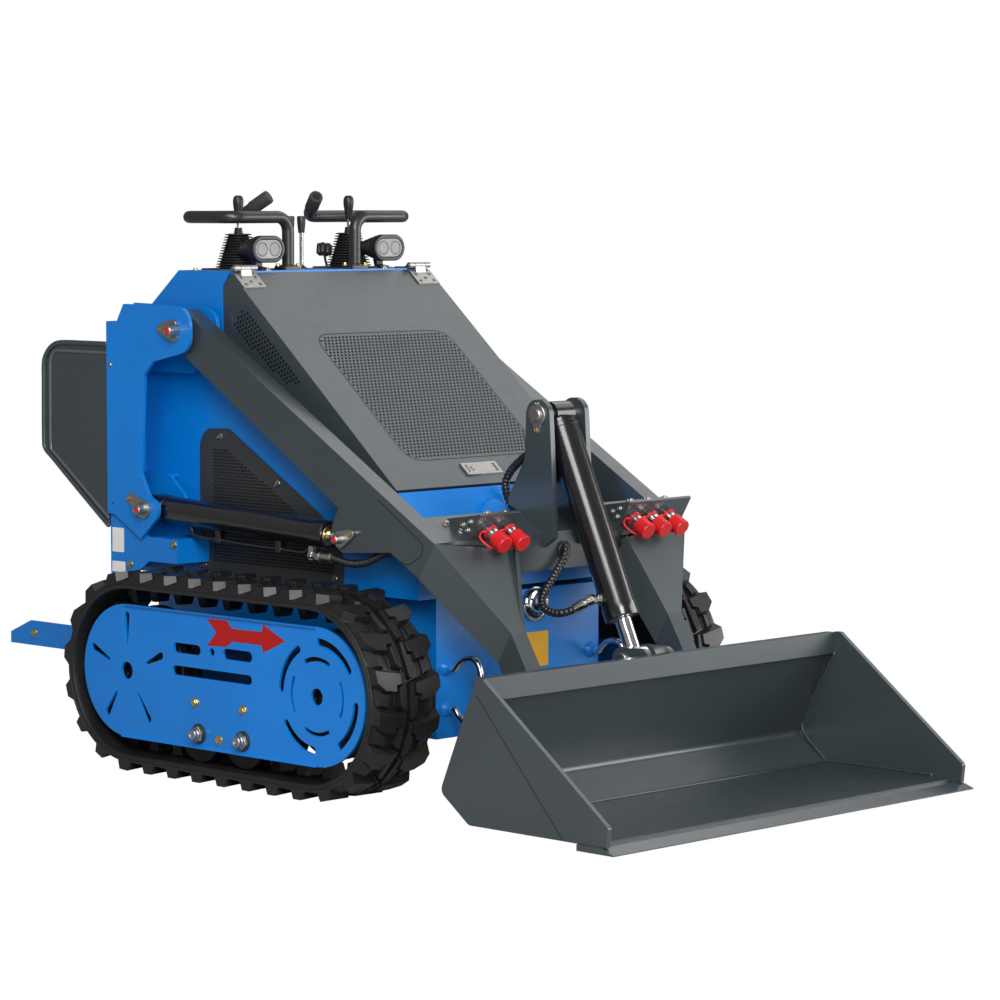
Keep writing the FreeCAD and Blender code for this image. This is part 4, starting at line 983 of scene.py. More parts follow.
def grille(sign):
    """The black perforated screen beside the engine, with its quarter-turn screws."""
    side = SIDES[sign]
    face = side_face(sign, GRILLE_FACE)
    outline = arc_line(39.0, 639.0, 42.0, 180.0, 108.0, 8)
    outline += arc_line(80.0, 661.0, 20.0, 100.0, 62.0, 5)
    outline += arc_line(358.0, 509.0, 12.0, 60.0, 50.0, 3)
    outline += arc_line(412.0, 436.0, 10.0, 45.0, 0.0, 4)
    outline += arc_line(414.0, 396.0, 8.0, 0.0, -90.0, 4)
    outline += arc_line(5.0, 396.0, 8.0, 270.0, 180.0, 4)
    sheet = bmesh.new()
    prism(sheet, face, outline[::-1], -2.5, 0.0, 0.6)
    piece("grille_sheet_" + side, sheet, grille_black, "root")
    holes = bmesh.new()
    region = [(40, 412), (40, 637), (84, 637), (349, 490), (398, 424), (398, 412)]
    perforation(holes, face, region, 7.4, 2.4)
    piece("grille_holes_" + side, holes, shadow, "root")
    screws = bmesh.new()
    for x, z, turn in ((63, 665, 0.4), (234, 579, 0.9), (12, 400, 0.2), (400, 400, 1.2)):
        lathe(screws, face, x, z, [(6.5, -0.4), (6.5, 1.4), (5.4, 2.6), (3, 2.6)], 24)
        spun = []
        for a, b in ((-9, -2), (-9, 2), (-3, 3), (3, 3), (9, 2), (9, -2), (3, -3), (-3, -3)):
            spun.append((x + a * math.cos(turn) - b * math.sin(turn),
                         z + a * math.sin(turn) + b * math.cos(turn)))
        prism(screws, face, spun, 2.0, 6.0, 0.5)
    piece("grille_screws_" + side, screws, zinc, "root", bevel=0.4)


for sign in SIDES:
    grille(sign)
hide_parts("side_grilles")

# ------------------------------------------------------------------ hood
HINGE_Y = 245.0
LATCH_Y = -16


def hood_details():
    """The hood's perforated fields, the groove round the top one, hinge screws and latch."""
    region = rounded(rectangle(-188, 186, 186, 556), 46.0, 8)
    holes = bmesh.new()
    perforation(holes, HOOD, inset(region, 5.0), 10.0, 2.9)
    for sign in SIDES:
        side = [(122, 921), (151, 912), (300, 779), (252, 778), (97, 886)]
        perforation(holes, side_face(sign, 277.0), side, 10.0, 3.1, heading=math.radians(-41.0))
    piece("hood_holes", holes, shadow, "hood")
    lines = bmesh.new()
    groove(lines, HOOD, region, 1.6)
    piece("hood_groove", lines, seam_shadow, "hood")
    screws, slots = bmesh.new(), bmesh.new()
    for sign in SIDES:
        for offset, b in ((-19, 18), (19, 18), (-19, 38), (19, 38), (0, 30)):
            a = sign * HINGE_Y + offset
            lathe(screws, HOOD, a, b, [(4.2, 2.8), (4.2, 3.3), (2.6, 4.6), (0, 4.9)], 18)
            prism(slots, HOOD, rectangle(a - 2.4, a + 2.4, b - 0.5, b + 0.5), 4.7, 5.05)
    piece("hinge_screws", screws, bare_steel, "hood")
    piece("hinge_screw_slots", slots, shadow, "hood")
    paddle = bmesh.new()
    outline = rounded(rectangle(LATCH_Y - 36, LATCH_Y + 36, 577, 601), 4.0)
    prism(paddle, HOOD, outline, 0.5, 3.4, 0.8)
    lathe(paddle, HOOD, LATCH_Y - 24, 589, [(6, 3), (6, 4.6), (4.5, 5.2), (0, 5.2)], 24)
    piece("latch_paddle", paddle, zinc, "hood", bevel=0.4)


hood_details()

# ------------------------------------------------------------------ console
CONSOLE_TOP = 998.0
LAMP_FACE = 87.0
BAR_Z = 1106.0
BAR_Y = 94


def bellows(sign):
    """The joystick's stacked rubber bellows, its collar, chrome stick and grip."""
    side = SIDES[sign]
    top = top_face(CONSOLE_TOP)
    x, y = -22.0, sign * 155.0
    profile = [(47, -0.5), (47, 2.5), (30, 3.0)]
    folds = 13
    for i in range(folds):
        t = i / (folds - 1)
        z = 4.0 + 66.0 * t
        outer = 47.5 - 20.0 * t
        profile += [(outer - 7.5, z), (outer - 0.4, z + 0.9), (outer, z + 1.8),
                    (outer - 0.4, z + 2.8), (outer - 7.5, z + 3.7)]
    profile += [(17, 73.5), (0, 73.5)]
    bm = bmesh.new()
    lathe(bm, top, x, y, profile, 40)
    prism(bm, top, rounded(rectangle(x - 56, x + 56, y - 56, y + 56), 8.0), -0.3, 3.0, 0.8)
    lathe(bm, top, x, y, [(9, 73), (9, 78), (8, 79), (8, 85), (6, 86), (0, 86)], 28)
    piece("bellows_" + side, bm, soft_rubber, "root", bevel=0.4)
    stick = bmesh.new()
    lathe(stick, top, x, y, [(3.6, 84), (3.6, 112), (0, 112)], 24)
    piece("stick_" + side, stick, chrome, "root")
    grip = bmesh.new()
    lathe(grip, top, x, y, [(4, 104), (5, 103), (6.2, 104), (7.2, 111), (9.0, 122), (10.6, 132),
                            (11.0, 140), (10.2, 146), (7.6, 150.4), (4, 152), (0, 152)], 32)
    piece("grip_" + side, grip, black_plastic, "root")


for sign in SIDES:
    bellows(sign)
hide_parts("joysticks")


def stadium(a, b, half_width, radius):
    """A level oval with straight top and bottom."""
    flat = half_width - radius
    return (arc_line(a + flat, b, radius, -90.0, 90.0, 14)
            + arc_line(a - flat, b, radius, 90.0, 270.0, 14))


def work_lamp(sign):
    """An oval lamp: finned tapering drum, rim, grey bezel, two dished reflectors, its foot."""
    side = SIDES[sign]
    y, z = sign * 170.0, 1041.0
    face = front_face(LAMP_FACE)
    drum = bmesh.new()
    rows = []
    for depth, shrink in ((-66, 19), (-64, 15), (-44, 11), (-28, 8), (-14, 1), (-11, 0), (-1, 0),
                          (1.2, 1), (1.6, 3), (1.6, 7.0), (-2.5, 9.0)):
        outline = stadium(y, z, 44.0 - shrink, 27.5 - shrink)
        rows.append([face.point(a, b, depth) for a, b in outline])
    rows_to_faces(drum, rows)
    for i in range(5):
        depth = -18.0 - 8.0 * i
        outline = stadium(y, z, 42.0 - i * 2.2, 25.5 - i * 2.2)
        prism(drum, front_face(LAMP_FACE + depth), outline, -1.2, 1.2, 0.4)
    foot = [(-6, 0), (-6, 3), (-16, 4), (-20, 18), (-14, 34), (2, 44), (2, 30), (-8, 20),
            (-8, 8), (12, 5), (12, 0)]
    bracket = Place((66.0, y, CONSOLE_TOP), (1, 0, 0), (0, 0, 1), (0, sign, 0))
    prism(drum, bracket, foot, -9.0, 9.0, 0.8)
    piece("lamp_" + side, drum, lamp_black, "root", bevel=0.5)
    bezel = bmesh.new()
    rows = []
    for depth, shrink in ((-1.0, 8.6), (0.6, 8.8), (0.9, 10.2), (0.2, 11.4)):
        rows.append([face.point(a, b, depth)
                     for a, b in stadium(y, z, 44 - shrink, 27.5 - shrink)])
    rows_to_faces(bezel, rows)
    piece("lamp_bezel_" + side, bezel, bezel_grey, "root")
    dishes = bmesh.new()
    for offset in (-17.0, 17.0):
        lathe(dishes, face, y + offset, z, [(14.6, 0.4), (14.6, 1.4), (13.4, 1.6), (12.0, -0.6),
                                            (7.5, -4.6), (4.6, -5.6), (3.8, -2.4), (0, -1.2)],
              36)
    piece("lamp_dishes_" + side, dishes, reflector, "root")
    bolts = bmesh.new()
    hex_bolt(bolts, top_face(CONSOLE_TOP), 81.0, y - 5.0 - sign * 7.0, 9.0, 4.5, 0.8)
    piece("lamp_bolt_" + side, bolts, brass_bolt, "root", bevel=0.3)


for sign in SIDES:
    work_lamp(sign)
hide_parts("work_lights")


def levers():
    """The chrome lever with its tapered sleeve, its fellow behind, and the lobed knob."""
    top = top_face(CONSOLE_TOP)
    rods, sleeves = bmesh.new(), bmesh.new()
    for y in (18.0, -13.0):
        lathe(rods, top, -20, y, [(4.2, -0.5), (4.2, 80), (0, 80)], 20)
        lathe(sleeves, top, -20, y, [(5.0, 74), (6.6, 74.5), (8.4, 92), (9.2, 106), (8.2, 109),
                                     (0, 109.5)], 28)
        lathe(sleeves, top, -20, y, [(12, -0.4), (12, 2), (9, 3), (5, 7), (0, 7)], 24)
    piece("lever_rods", rods, chrome, "root")
    knob = Place((-20, 83, 1037), (1, 0, 0.15), (0, 1, -0.25), (-0.15, 0.24, 1))
    lathe(sleeves, knob, 0, 0, [(7, -12), (8, -6), (9, 4), (7.5, 9.5), (0, 10.5)], 24)
    for a, b in ring_of(0.0, 0.0, 11.0, 6):
        lathe(sleeves, knob, a, b, [(4.8, -11), (6.0, -9), (6.0, 9), (4.6, 11.5), (0, 12)], 16)
    piece("lever_grips", sleeves, black_plastic, "root", bevel=0.3)
    stem = bmesh.new()
    sweep(stem, spline([(-20, 89, 997), (-20, 89, 1006), (-20, 86, 1015), (-20, 83.5, 1027)],
                       2.5), 2.6, 12)
    piece("knob_stem", stem, black_plastic, "root", replaces=("control_levers",))


levers()


def horn(sign):
    """Where the tube leaves its loop, and the tip of its horn."""
    return Vector((-84.0, sign * 95.0, BAR_Z)), Vector((-26.0, sign * 66.5, BAR_Z + 41.8))


def handlebar_tubes():
    """Both bent tubes, each a wide loop that ends in a horn towards the middle."""
    bm = bmesh.new()
    for sign in SIDES:
        near, tip = horn(sign)
        corners = [(62, sign * BAR_Y, CONSOLE_TOP + 1), (62, sign * BAR_Y, BAR_Z),
                   (62, sign * 250, BAR_Z), (-84, sign * 250, BAR_Z), near, tip]
        sweep(bm, bends(corners, 30.0, 3.0), 12.6, 24)
    piece("handlebar_tubes", bm, satin_black, "root", replaces=("handlebars",))


handlebar_tubes()


def handlebar_details(sign):
    """Foam sleeves on the horns, and the bolted plates under the legs."""
    side = SIDES[sign]
    near, tip = horn(sign)
    start = tip - (tip - near).normalized() * 46.0
    place = axis_place(start, tip)
    length = (tip - start).length + 0.5
    bm = bmesh.new()
    lathe(bm, place, 0, 0, [(12.3, 0), (13.4, 0.4), (14.3, 2.5), (14.5, length - 3),
                            (13.6, length), (8.6, length), (8.0, length - 14),
                            (0, length - 14)], 32)
    piece("horn_sleeve_" + side, bm, foam_grip, "root", bevel=0.3)
    holes = bmesh.new()
    lathe(holes, place, 0, 0, [(7.9, length - 13.8), (0, length - 13.6)], 24)
    piece("horn_hole_" + side, holes, shadow, "root")
    y = sign * BAR_Y
    plate = bmesh.new()
    top = top_face(CONSOLE_TOP)
    prism(plate, top, rounded(rectangle(44, 80, y - 24, y + 24), 5.0), -0.3, 7.0, 0.8)
    lathe(plate, top, 62, y, [(17, 6.5), (17, 9), (13, 11), (12, 11)], 32)
    piece("bar_foot_" + side, plate, satin_black, "root", bevel=0.4)
    bolts = bmesh.new()
    for a, b in ((51, -18), (51, 18), (73, 18)):
        hex_bolt(bolts, top_face(CONSOLE_TOP + 7.0), a, y + b, 8.0, 4.6, 0.8, a * 0.1)
    piece("bar_bolts_" + side, bolts, brass_bolt, "root", bevel=0.3)


for sign in SIDES:
    handlebar_details(sign)


def console_screws():
    bm = bmesh.new()
    top = top_face(CONSOLE_TOP)
    for y in (-262.0, 262.0):
        hex_bolt(bm, top, -33.0, y, 7.0, 3.4, 0.8, y)
    piece("console_screws", bm, brass_bolt, "root", bevel=0.3)


console_screws()

# ------------------------------------------------------------------ front of the tank
TANK_FACE = 631.0


def hook_bar(sign, z, turn):
    """The line of a bent round bar, hooked up or down."""
    y = sign * 204.0
    return spline([(630, y, z), (645, y, z - turn * 2), (656, y, z - turn * 1),
                   (668, y, z + turn * 12), (684, y, z + turn * 22), (704, y, z + turn * 24),
                   (718, y, z + turn * 17), (725, y, z + turn * 2), (728, y, z - turn * 14)],
                  2.5)


def tow_hooks():
    steel, boss = bmesh.new(), bmesh.new()
    for sign in SIDES:
        for z, turn in ((237.0, 1), (157.0, -1)):
            sweep(steel, hook_bar(sign, z, turn), 6.0, 16, True)
            lathe(boss, front_face(TANK_FACE), sign * 204.0, z, [(16, -0.5), (15, 3), (11, 6.5),
                                                             (8, 12), (6.8, 17), (5.5, 17)], 28)
    piece("hook_feet", boss, blue, "root")
    piece("hook_bars", steel, bright_steel, "root", replaces=("tow_hooks",))


tow_hooks()


def sight_gauge():
    """The round level gauge: chrome ring, dark glass, red bead."""
    face = front_face(TANK_FACE)
    ring, glass, bead = bmesh.new(), bmesh.new(), bmesh.new()
    y, z = 44.0, 343.0
    lathe(ring, face, y, z, [(30, 0), (34, 2), (35, 5), (33, 8.4), (28, 11), (21, 12.4),
                             (18, 12.0), (16.5, 8.5), (12, 8.2), (0, 8.2)], 56)
    for a, b in ring_of(y, z, 22.6, 6, math.radians(30.0)):
        lathe(glass, face, a, b, [(2.4, 11.6), (2.4, 13.2), (1.6, 13.8), (0, 13.8)], 14)
    lathe(glass, face, y, z, [(13.5, 7.8), (13.5, 9.0), (11.0, 10.2), (0, 10.8)], 36)
    lathe(bead, face, y + 3, z, [(3.6, 9.6), (3.6, 11.2), (0, 11.8)], 18)
    piece("gauge_ring", ring, chrome, "root")
    piece("gauge_glass", glass, gloss_black, "root")
    piece("gauge_bead", bead, red_plastic, "root")


sight_gauge()
blank_label("tank_label", front_face(TANK_FACE), 11, 83, 217, 287, 5.0, yellow_label)


CAP_Y = -43.0
CAP_FOOT = Vector((607.0, 0.0, 514.0))


def filler_cap():
    """Grip ridges round the filler cap and its raised middle."""
    foot_b = (CAP_FOOT - PANEL.origin).dot(PANEL.up)
    bm = bmesh.new()
    lathe(bm, PANEL, CAP_Y, foot_b, [(38, 11.8), (37, 13.2), (30, 14.0), (26, 13.2), (12, 13.4),
                                     (0, 13.8)], 48)
    for a, b in ring_of(CAP_Y, foot_b, 41.2, 28):
        lathe(bm, PANEL, a, b, [(2.2, 1.0), (1.9, 10.0), (0, 10.6)], 8)
    piece("filler_ridges", bm, blue, "root")


filler_cap()

# ------------------------------------------------------------------ deck couplers
DECK_FALL = 423.0 / 715.0
DECK_RUN = Vector((1.0, 0.0, -DECK_FALL)).normalized()
DECK_OFF = Vector((DECK_FALL, 0.0, 1.0)).normalized()


def deck_corner(y):
    """Where the arms' sloping deck starts."""
    return Vector((753.0, y, 497.0))


def coupler_place(y):
    """Along the coupler's axis: out is down the slope, up is off the deck."""
    start = deck_corner(y) + DECK_OFF * 22.0
    return Place(start, (0, 1, 0), DECK_OFF, DECK_RUN)


def coupler(y, steel, caps, elbows):
    place = coupler_place(y)
    tip = (811.0 - place.origin.x) / DECK_RUN.x
    lathe(steel, place, 0, 0, [(10.5, -2), (10.5, 2)], 28)
    lathe(steel, place, 0, 0, [(15.5, 0), (15.5, 7), (14.2, 8), (9, 8)], 6, 0.4)
    rim = tip - 46.0
    lathe(steel, place, 0, 0, [(11, 7), (11, 11), (12.4, 12), (12.4, rim - 4), (11.4, rim - 3),
                               (11.4, rim + 4), (12.8, rim + 5), (12.8, rim + 9),
                               (11.0, rim + 10), (11.0, rim + 13), (12.8, rim + 14),
                               (12.8, rim + 20)], 32)
    lathe(caps, place, 0, 0, [(11.6, rim - 1.6), (14.8, rim - 1.6), (15.6, rim - 0.4),
                              (15.6, rim + 2.4), (14.8, rim + 3.6), (11.6, rim + 3.6)], 36)
    lathe(caps, place, 0, 0, [(12.9, rim + 17), (15.6, rim + 17), (16.6, rim + 18),
                              (17.0, tip - 5), (17.4, tip - 4), (17.4, tip - 2),
                              (16.2, tip), (0, tip)], 36)
    strap = [(12, 0, tip - 4), (15, -14, tip - 8), (4, -23, tip - 16), (-12, -22, tip - 28),
             (-20, -13, rim - 2), (-18, -2, rim - 5), (-13, 2, rim)]
    points = [place.station(a, max(b, -19.0), c) for a, b, c in strap]
    sweep(caps, spline(points, 3.0), 2.4, 10, True)
    lathe(elbows, place, 0, 0, [(9, -20), (12.5, -19), (13.5, -9), (13.5, -7), (9, -6.2)], 6, 0.2)
    bend = [place.station(0, 0, -10), place.station(0, 0, -26), place.station(0, -5, -35),
            place.station(0, -16, -39)]
    sweep(elbows, spline(bend, 3.0), 8.5, 16, True)
    riser = Place(place.station(0, 0, -16), (0, 1, 0), DECK_RUN, DECK_OFF)
    lathe(elbows, riser, 0, 0, [(8, -4), (8, 12), (10.5, 13), (10.5, 24), (9.5, 25), (6, 25),
                                (6, 29), (5, 30), (0, 30)], 6, 0.1)


def couplers():
    steel, caps, elbows = bmesh.new(), bmesh.new(), bmesh.new()
    for y in (-223.0, -173.0, 182.0, 232.0, 282.0):
        coupler(y, steel, caps, elbows)
    for x, y in ((-58, -275), (-30, -258)):
        place = Place(deck_corner(y) + DECK_RUN * x, (0, 1, 0), DECK_RUN, DECK_OFF)
        hex_bolt(elbows, place, 0, 0, 10.0, 5.5, 0.75)
    piece("coupler_steel", steel, chrome, "loader_arms", bevel=0.3)
    piece("coupler_elbows", elbows, zinc, "loader_arms", bevel=0.3)
    piece("coupler_caps", caps, red_plastic, "loader_arms", bevel=0.3, replaces=("couplers",))


couplers()


def bracket_bolts():
    """Bolts on the coupler brackets' cheeks, on both sides."""
    bm = bmesh.new()
    for y_cheek in (-260.0, 158.0):
        for face_y, sign in ((y_cheek, -1), (y_cheek + 6.0, 1)):
            place = Place(deck_corner(face_y), DECK_RUN, DECK_OFF, (0, sign, 0))
            for a, b in ((-14, 14), (-30, 16), (-16, 32)):
                hex_bolt(bm, place, a, b, 8.0, 4.2, 0.75)
    piece("bracket_bolts", bm, zinc, "loader_arms", bevel=0.3)


bracket_bolts()

# ------------------------------------------------------------------ lift cylinders
LIFT_Y = 334.0
LIFT_BASE = Vector((-68.0, 0.0, 516.0))
LIFT_HEAD = Vector((498.0, 0.0, 489.0))


def lift_cylinder(sign):
    """Gland and end collar, wiper, the steel feed pipe with its clips, and the pipe's fitting; its
    corrugated hose is made by lift_hose.
    """
    side = SIDES[sign]
    body = "lift_barrel_" + side
    y = sign * LIFT_Y
    across = Vector((0.0, y, 0.0))
    axis = axis_place(LIFT_BASE + across, LIFT_HEAD + across)
    collars = bmesh.new()
    lathe(collars, axis, 0, 0, [(27.4, 478), (28.9, 479), (28.9, 507), (27.6, 510), (24, 512),
                                (15, 512.4), (13, 512.6)], 40)
    lathe(collars, axis, 0, 0, [(27.4, 26), (28.6, 27), (28.6, 34), (27.4, 35)], 40)
    piece("lift_gland_" + side, collars, gloss_black, body, bevel=0.4)
    wiper = bmesh.new()
    lathe(wiper, axis, 0, 0, [(21, 511.5), (20, 513.5), (14, 514), (12.8, 514.5)], 36)
    piece("lift_wiper_" + side, wiper, brass_bolt, body)
    pipe = bmesh.new()
    route = [(30, y, 492), (34, y, 479), (42, y, 468), (60, y, 464), (120, y, 461),
             (210, y, 457), (300, y, 455), (360, y, 453), (378, y, 456), (389, y, 466),
             (392, y, 478)]
    sweep(pipe, spline(route, 5.0), 4.8, 14)
    for x, z in ((120.0, 470.0), (300.0, 463.0)):
        clip = Place((x, y, z), (1, 0, 0), (0, sign, 0), (0, 0, 1))
        prism(pipe, clip, rounded(rectangle(-7, 7, -8, 8), 2.0), -14.0, 12.0, 0.8)
    piece("lift_pipe_" + side, pipe, gloss_black, body, bevel=0.4)
    fitting = bmesh.new()
    place = axis_place((392, y, 449.5), (452, y, 447.5))
    lathe(fitting, place, 0, 0, [(6, -6), (10, -5), (10.5, 4), (9, 6)], 6, 0.2)
    lathe(fitting, place, 0, 0, [(8, 5), (8, 16), (6.6, 17), (6.6, 22), (9.6, 23), (9.6, 56),
                                 (8.6, 58), (6, 58)], 28)
    lathe(fitting, place, 0, 0, [(8, 15.5), (12, 16.5), (12, 27), (8, 28)], 6, 0.5)
    neck = Place((392, y, 449.5), (1, 0, 0), (0, 1, 0), (0, 0, 1))
    lathe(fitting, neck, 0, 0, [(0, -9), (8, -9), (8.5, 2), (8.5, 18), (11, 19), (11, 27)], 6, 0.3)
    piece("lift_fitting_" + side, fitting, zinc, body, bevel=0.3)


def lift_hose(sign):
    """The corrugated hose from the lift pipe's fitting, round below the cylinder's front."""
    side = SIDES[sign]
    y = sign * LIFT_Y
    route = [(449, y, 447.5), (470, y, 444.5), (492, y, 441), (520, y, 441.5), (548, y, 447),
             (572, y, 457), (592, y - sign * 6, 466), (612, y - sign * 16, 470)]
    line = spline(route, 1.6)
    bm = bmesh.new()
    sweep(bm, line, ripple(line, 8.0, 1.6, 4.2), 16, True)
    hose = piece("lift_hose_" + side, bm, hose_rubber, "lift_barrel_" + side)


for sign in SIDES:
    lift_cylinder(sign)
    lift_hose(sign)

# ------------------------------------------------------------------ lift heads on the arms
ARM_FACE = 355.0


def lift_head(sign):
    """The keeper, pin and grease nipple of the rod's eye on the arm."""
    side = SIDES[sign]
    face = side_face(sign, ARM_FACE)
    plates, dots, bolts = bmesh.new(), bmesh.new(), bmesh.new()
    keeper(plates, face, ((498, 489, 17), (527, 501, 9)))
    pin_end(plates, dots, face, 498, 489, 8.6, 21.0, 5.8)
    hex_bolt(bolts, face, 528, 501, 9.0, 9.5, 0.0)
    grease_nipple(plates, face, 545, 505, 0.0)
    back = side_face(-sign, -313.0)
    lathe(plates, back, 498, 489, [(13, -0.5), (13, 6), (11.5, 7.5), (0, 7.5)], 32)
    piece("lift_head_" + side, plates, zinc, "loader_arms", bevel=0.4)
    piece("lift_head_plug_" + side, dots, red_plastic, "loader_arms")
    piece("lift_head_bolt_" + side, bolts, brass_bolt, "loader_arms", bevel=0.3)


def arm_lines(sign):
    """The fine pressed line on the arm and the weld where the forearm meets it."""
    side = SIDES[sign]
    y = sign * (ARM_FACE + 0.2)
    outline = [(601, y, 571), (660, y, 534), (714, y, 500), (723, y, 486), (716, y, 470),
               (700, y, 461), (682, y, 453), (660, y, 458), (632, y, 473)]
    bm = bmesh.new()
    sweep(bm, spline(outline, 5.0), 0.8, 8, True)
    piece("arm_line_" + side, bm, seam_shadow, "loader_arms")
    bm = bmesh.new()
    y = sign * 353.7
    weld(bm, [(712, y, 427), (733, y, 462), (753, y, 497)], 2.5, 1.8, 0.6, 4.0)
    piece("arm_weld_" + side, bm, slate, "loader_arms")


for sign in SIDES:
    lift_head(sign)
    arm_lines(sign)

# ------------------------------------------------------------------ tilt cylinder
TILT_TOP = Vector((735.0, 0.0, 726.0))
TILT_EYE = Vector((942.0, 0.0, 264.0))


def tilt_cylinder():
    axis = axis_place(TILT_TOP, TILT_EYE)
    bm = bmesh.new()
    lathe(bm, axis, 0, 0, [(33, 396), (34.4, 397), (34.4, 420), (33, 423.5), (26, 424.5),
                           (18, 425), (16.6, 425.4)], 48)
    lathe(bm, axis, 0, 0, [(33, 22), (34.4, 23), (34.4, 31), (33, 32)], 48)
    piece("tilt_gland", bm, gloss_black, "tilt_barrel", bevel=0.4)
    caps, bolts = bmesh.new(), bmesh.new()
    for sign in SIDES:
        face = side_face(sign, 56.0)
        lathe(caps, face, 735, 726, [(22, -0.4), (22, 3.4), (20.6, 4.6), (13, 4.6), (13, 8),
                                     (11.5, 9.4), (0, 9.4)], 36)
        keeper(caps, face, ((735, 726, 17), (735, 697, 8)), 4.0)
        hex_bolt(bolts, face, 735, 697, 9.0, 7.5, 0.0)
        grease_nipple(caps, face, 735, 748, -1.0)
    piece("tilt_pin_caps", caps, zinc, "loader_arms", bevel=0.4)
    piece("tilt_pin_bolts", bolts, brass_bolt, "loader_arms", bevel=0.3)


tilt_cylinder()


def tilt_port():
    """The barrel's lower port and the hose's bright end fitting."""
    port, fitting = bmesh.new(), bmesh.new()
    place = axis_place((884, -24, 378), (868, -58, 376), (0, 0, 1))
    lathe(port, place, 0, 0, [(14, -6), (14, 10), (12.6, 11.5), (8, 11.5)], 28)
    piece("tilt_port", port, gloss_black, "tilt_barrel", bevel=0.4)
    lathe(fitting, place, 0, 0, [(8, 8), (12, 10), (12, 17), (9, 18)], 6, 0.3)
    lathe(fitting, place, 0, 0, [(8, 17), (8, 22), (10.5, 23), (11, 27), (8, 28)], 6, 0.1)
    ferrule = axis_place((872.5, -50, 377), (842, -75, 355), (0, 0, 1))
    lathe(fitting, ferrule, 0, 0, [(7, -6), (10.5, -5), (10.5, 8), (8.4, 9), (8.4, 12),
                                   (10, 13), (10, 36), (9, 38), (7, 38)], 24)
    piece("tilt_fitting", fitting, bright_steel, "tilt_barrel", bevel=0.3)


tilt_port()


def tilt_hoses():
    route = [(752, 6, 470), (757, -2, 452), (757, -16, 432), (760, -36, 413), (763, -58, 393),
             (768, -76, 374), (782, -87, 358), (804, -88, 350), (826, -84, 350), (845, -73, 357),
             (860, -60.5, 368), (873, -49.5, 377.5)]
    line = spline(route, 1.6)
    bm = bmesh.new()
    sweep(bm, line, ripple(line, 8.6, 1.8, 9.0), 16, True)
    hose = piece("tilt_hose", bm, wrapped_hose, "")
    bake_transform(hose)
    route = [(706, 0, 655), (680, 0, 652), (652, 0, 641), (624, 0, 622), (604, 0, 603),
             (594, 0, 582), (598, 0, 560), (612, 0, 540), (632, 0, 521), (654, 0, 504),
             (680, 0, 486)]
    line = spline(route, 1.8)
    bm = bmesh.new()
    sweep(bm, line, ripple(line, 9.0, 1.8, 9.0), 16, True)
    hose = piece("mast_hose", bm, wrapped_hose, "loader_arms")
    holes, rings = bmesh.new(), bmesh.new()
    place = axis_place((747.5, 4, 462), (750.5, 4, 461.7))
    lathe(holes, place, 0, 0, [(15, -2), (15, 3.2), (0, 3.2)], 32)
    lathe(rings, place, 0, 0, [(16.5, -2), (17.5, 3.0), (16.0, 4.6), (14.0, 4.2)], 32)
    piece("hose_hole", holes, shadow, "loader_arms")
    piece("hose_grommet", rings, soft_rubber, "loader_arms")


tilt_hoses()


def mast_ties():
    """The cross plate between the mast's ears, where the mast hose enters."""
    bm = bmesh.new()
    place = Place((700, 0, 640), (0, 1, 0), (-43, 0, -80), (-80, 0, 43))
    prism(bm, place, rectangle(-45, 45, 2, 60), -6.0, 0.0, 0.6)
    lathe(bm, place, 0, 12, [(14, -1), (14, 4), (12, 5.5), (9, 5.5)], 28)
    piece("mast_tie", bm, slate, "loader_arms", bevel=0.5)


mast_ties()

# ------------------------------------------------------------------ bucket
def bucket_details():
    seams = bmesh.new()
    for sign in SIDES:
        y = sign * 512.1
        line = spline([(1021, y, 250), (1128, y, 132), (1235, y, 14)], 8.0)
        sweep(seams, line, 0.7, 8, True)
    piece("bucket_side_seams", seams, seam_shadow, "bucket")
    welds = bmesh.new()
    for sign in SIDES:
        y = sign * 501.0
        weld(welds, [(1023, y, 238), (980, y, 162), (940, y, 84), (1000, y, 22)],
             5.0, 3.6, 1.0, 6.0)
        weld(welds, [(1004, y, 20), (1120, y, 20), (1270, y, 20)], 5.0, 3.2, 1.0, 6.0)
    line = spline([(1016, -500, 19.5), (1016, 0, 19.5), (1016, 500, 19.5)], 8.0)
    sweep(welds, line, 1.4, 8, True)
    weld(welds, [(1272, -510, 12.4), (1272, 0, 12.4), (1272, 510, 12.4)], 6.0, 3.0, 0.8, 7.0)
    for y, high, low in ((251, 222, 102), (193, 222, 102), (32, 270, 132)):
        for sign in SIDES:
            for edge in (-6.5, 6.5):
                points = [(927.0 + 92.0 * (z - 66.0) / 214.0, sign * y + edge, z)
                          for z in (low, (low + high) / 2.0, high)]
                weld(welds, points, 5.0, 3.0, 0.8, 6.0)
    piece("bucket_welds", welds, slate, "bucket")
    pins, bolts = bmesh.new(), bmesh.new()
    for sign in SIDES:
        for y, way in ((257.0, 1), (187.0, -1)):
            face = Place((0, sign * y, 0), (1, 0, 0), (0, 0, 1), (0, sign * way, 0))
            lathe(pins, face, 915, 150, [(18, -0.4), (18, 2.6), (16.8, 3.6), (12.4, 3.6),
                                         (12.4, 4.4), (0, 4.4)], 32)
        face = Place((0, sign * 38.0, 0), (1, 0, 0), (0, 0, 1), (0, sign, 0))
        lathe(pins, face, 942, 264, [(16, -0.4), (16, 5.0), (14.6, 6.4), (0, 6.4)], 32)
        hex_bolt(bolts, face, 926, 244, 8.0, 4.0, 0.7)
    bar = axis_place((942, -38, 264), (942, 38, 264), (1, 0, 0))
    lathe(pins, bar, 0, 0, [(0, 0), (11.5, 0), (11.5, 76), (0, 76)], 32)
    piece("bucket_pin_caps", pins, zinc, "bucket", bevel=0.4)
    piece("bucket_pin_bolts", bolts, brass_bolt, "bucket", bevel=0.3)


bucket_details()

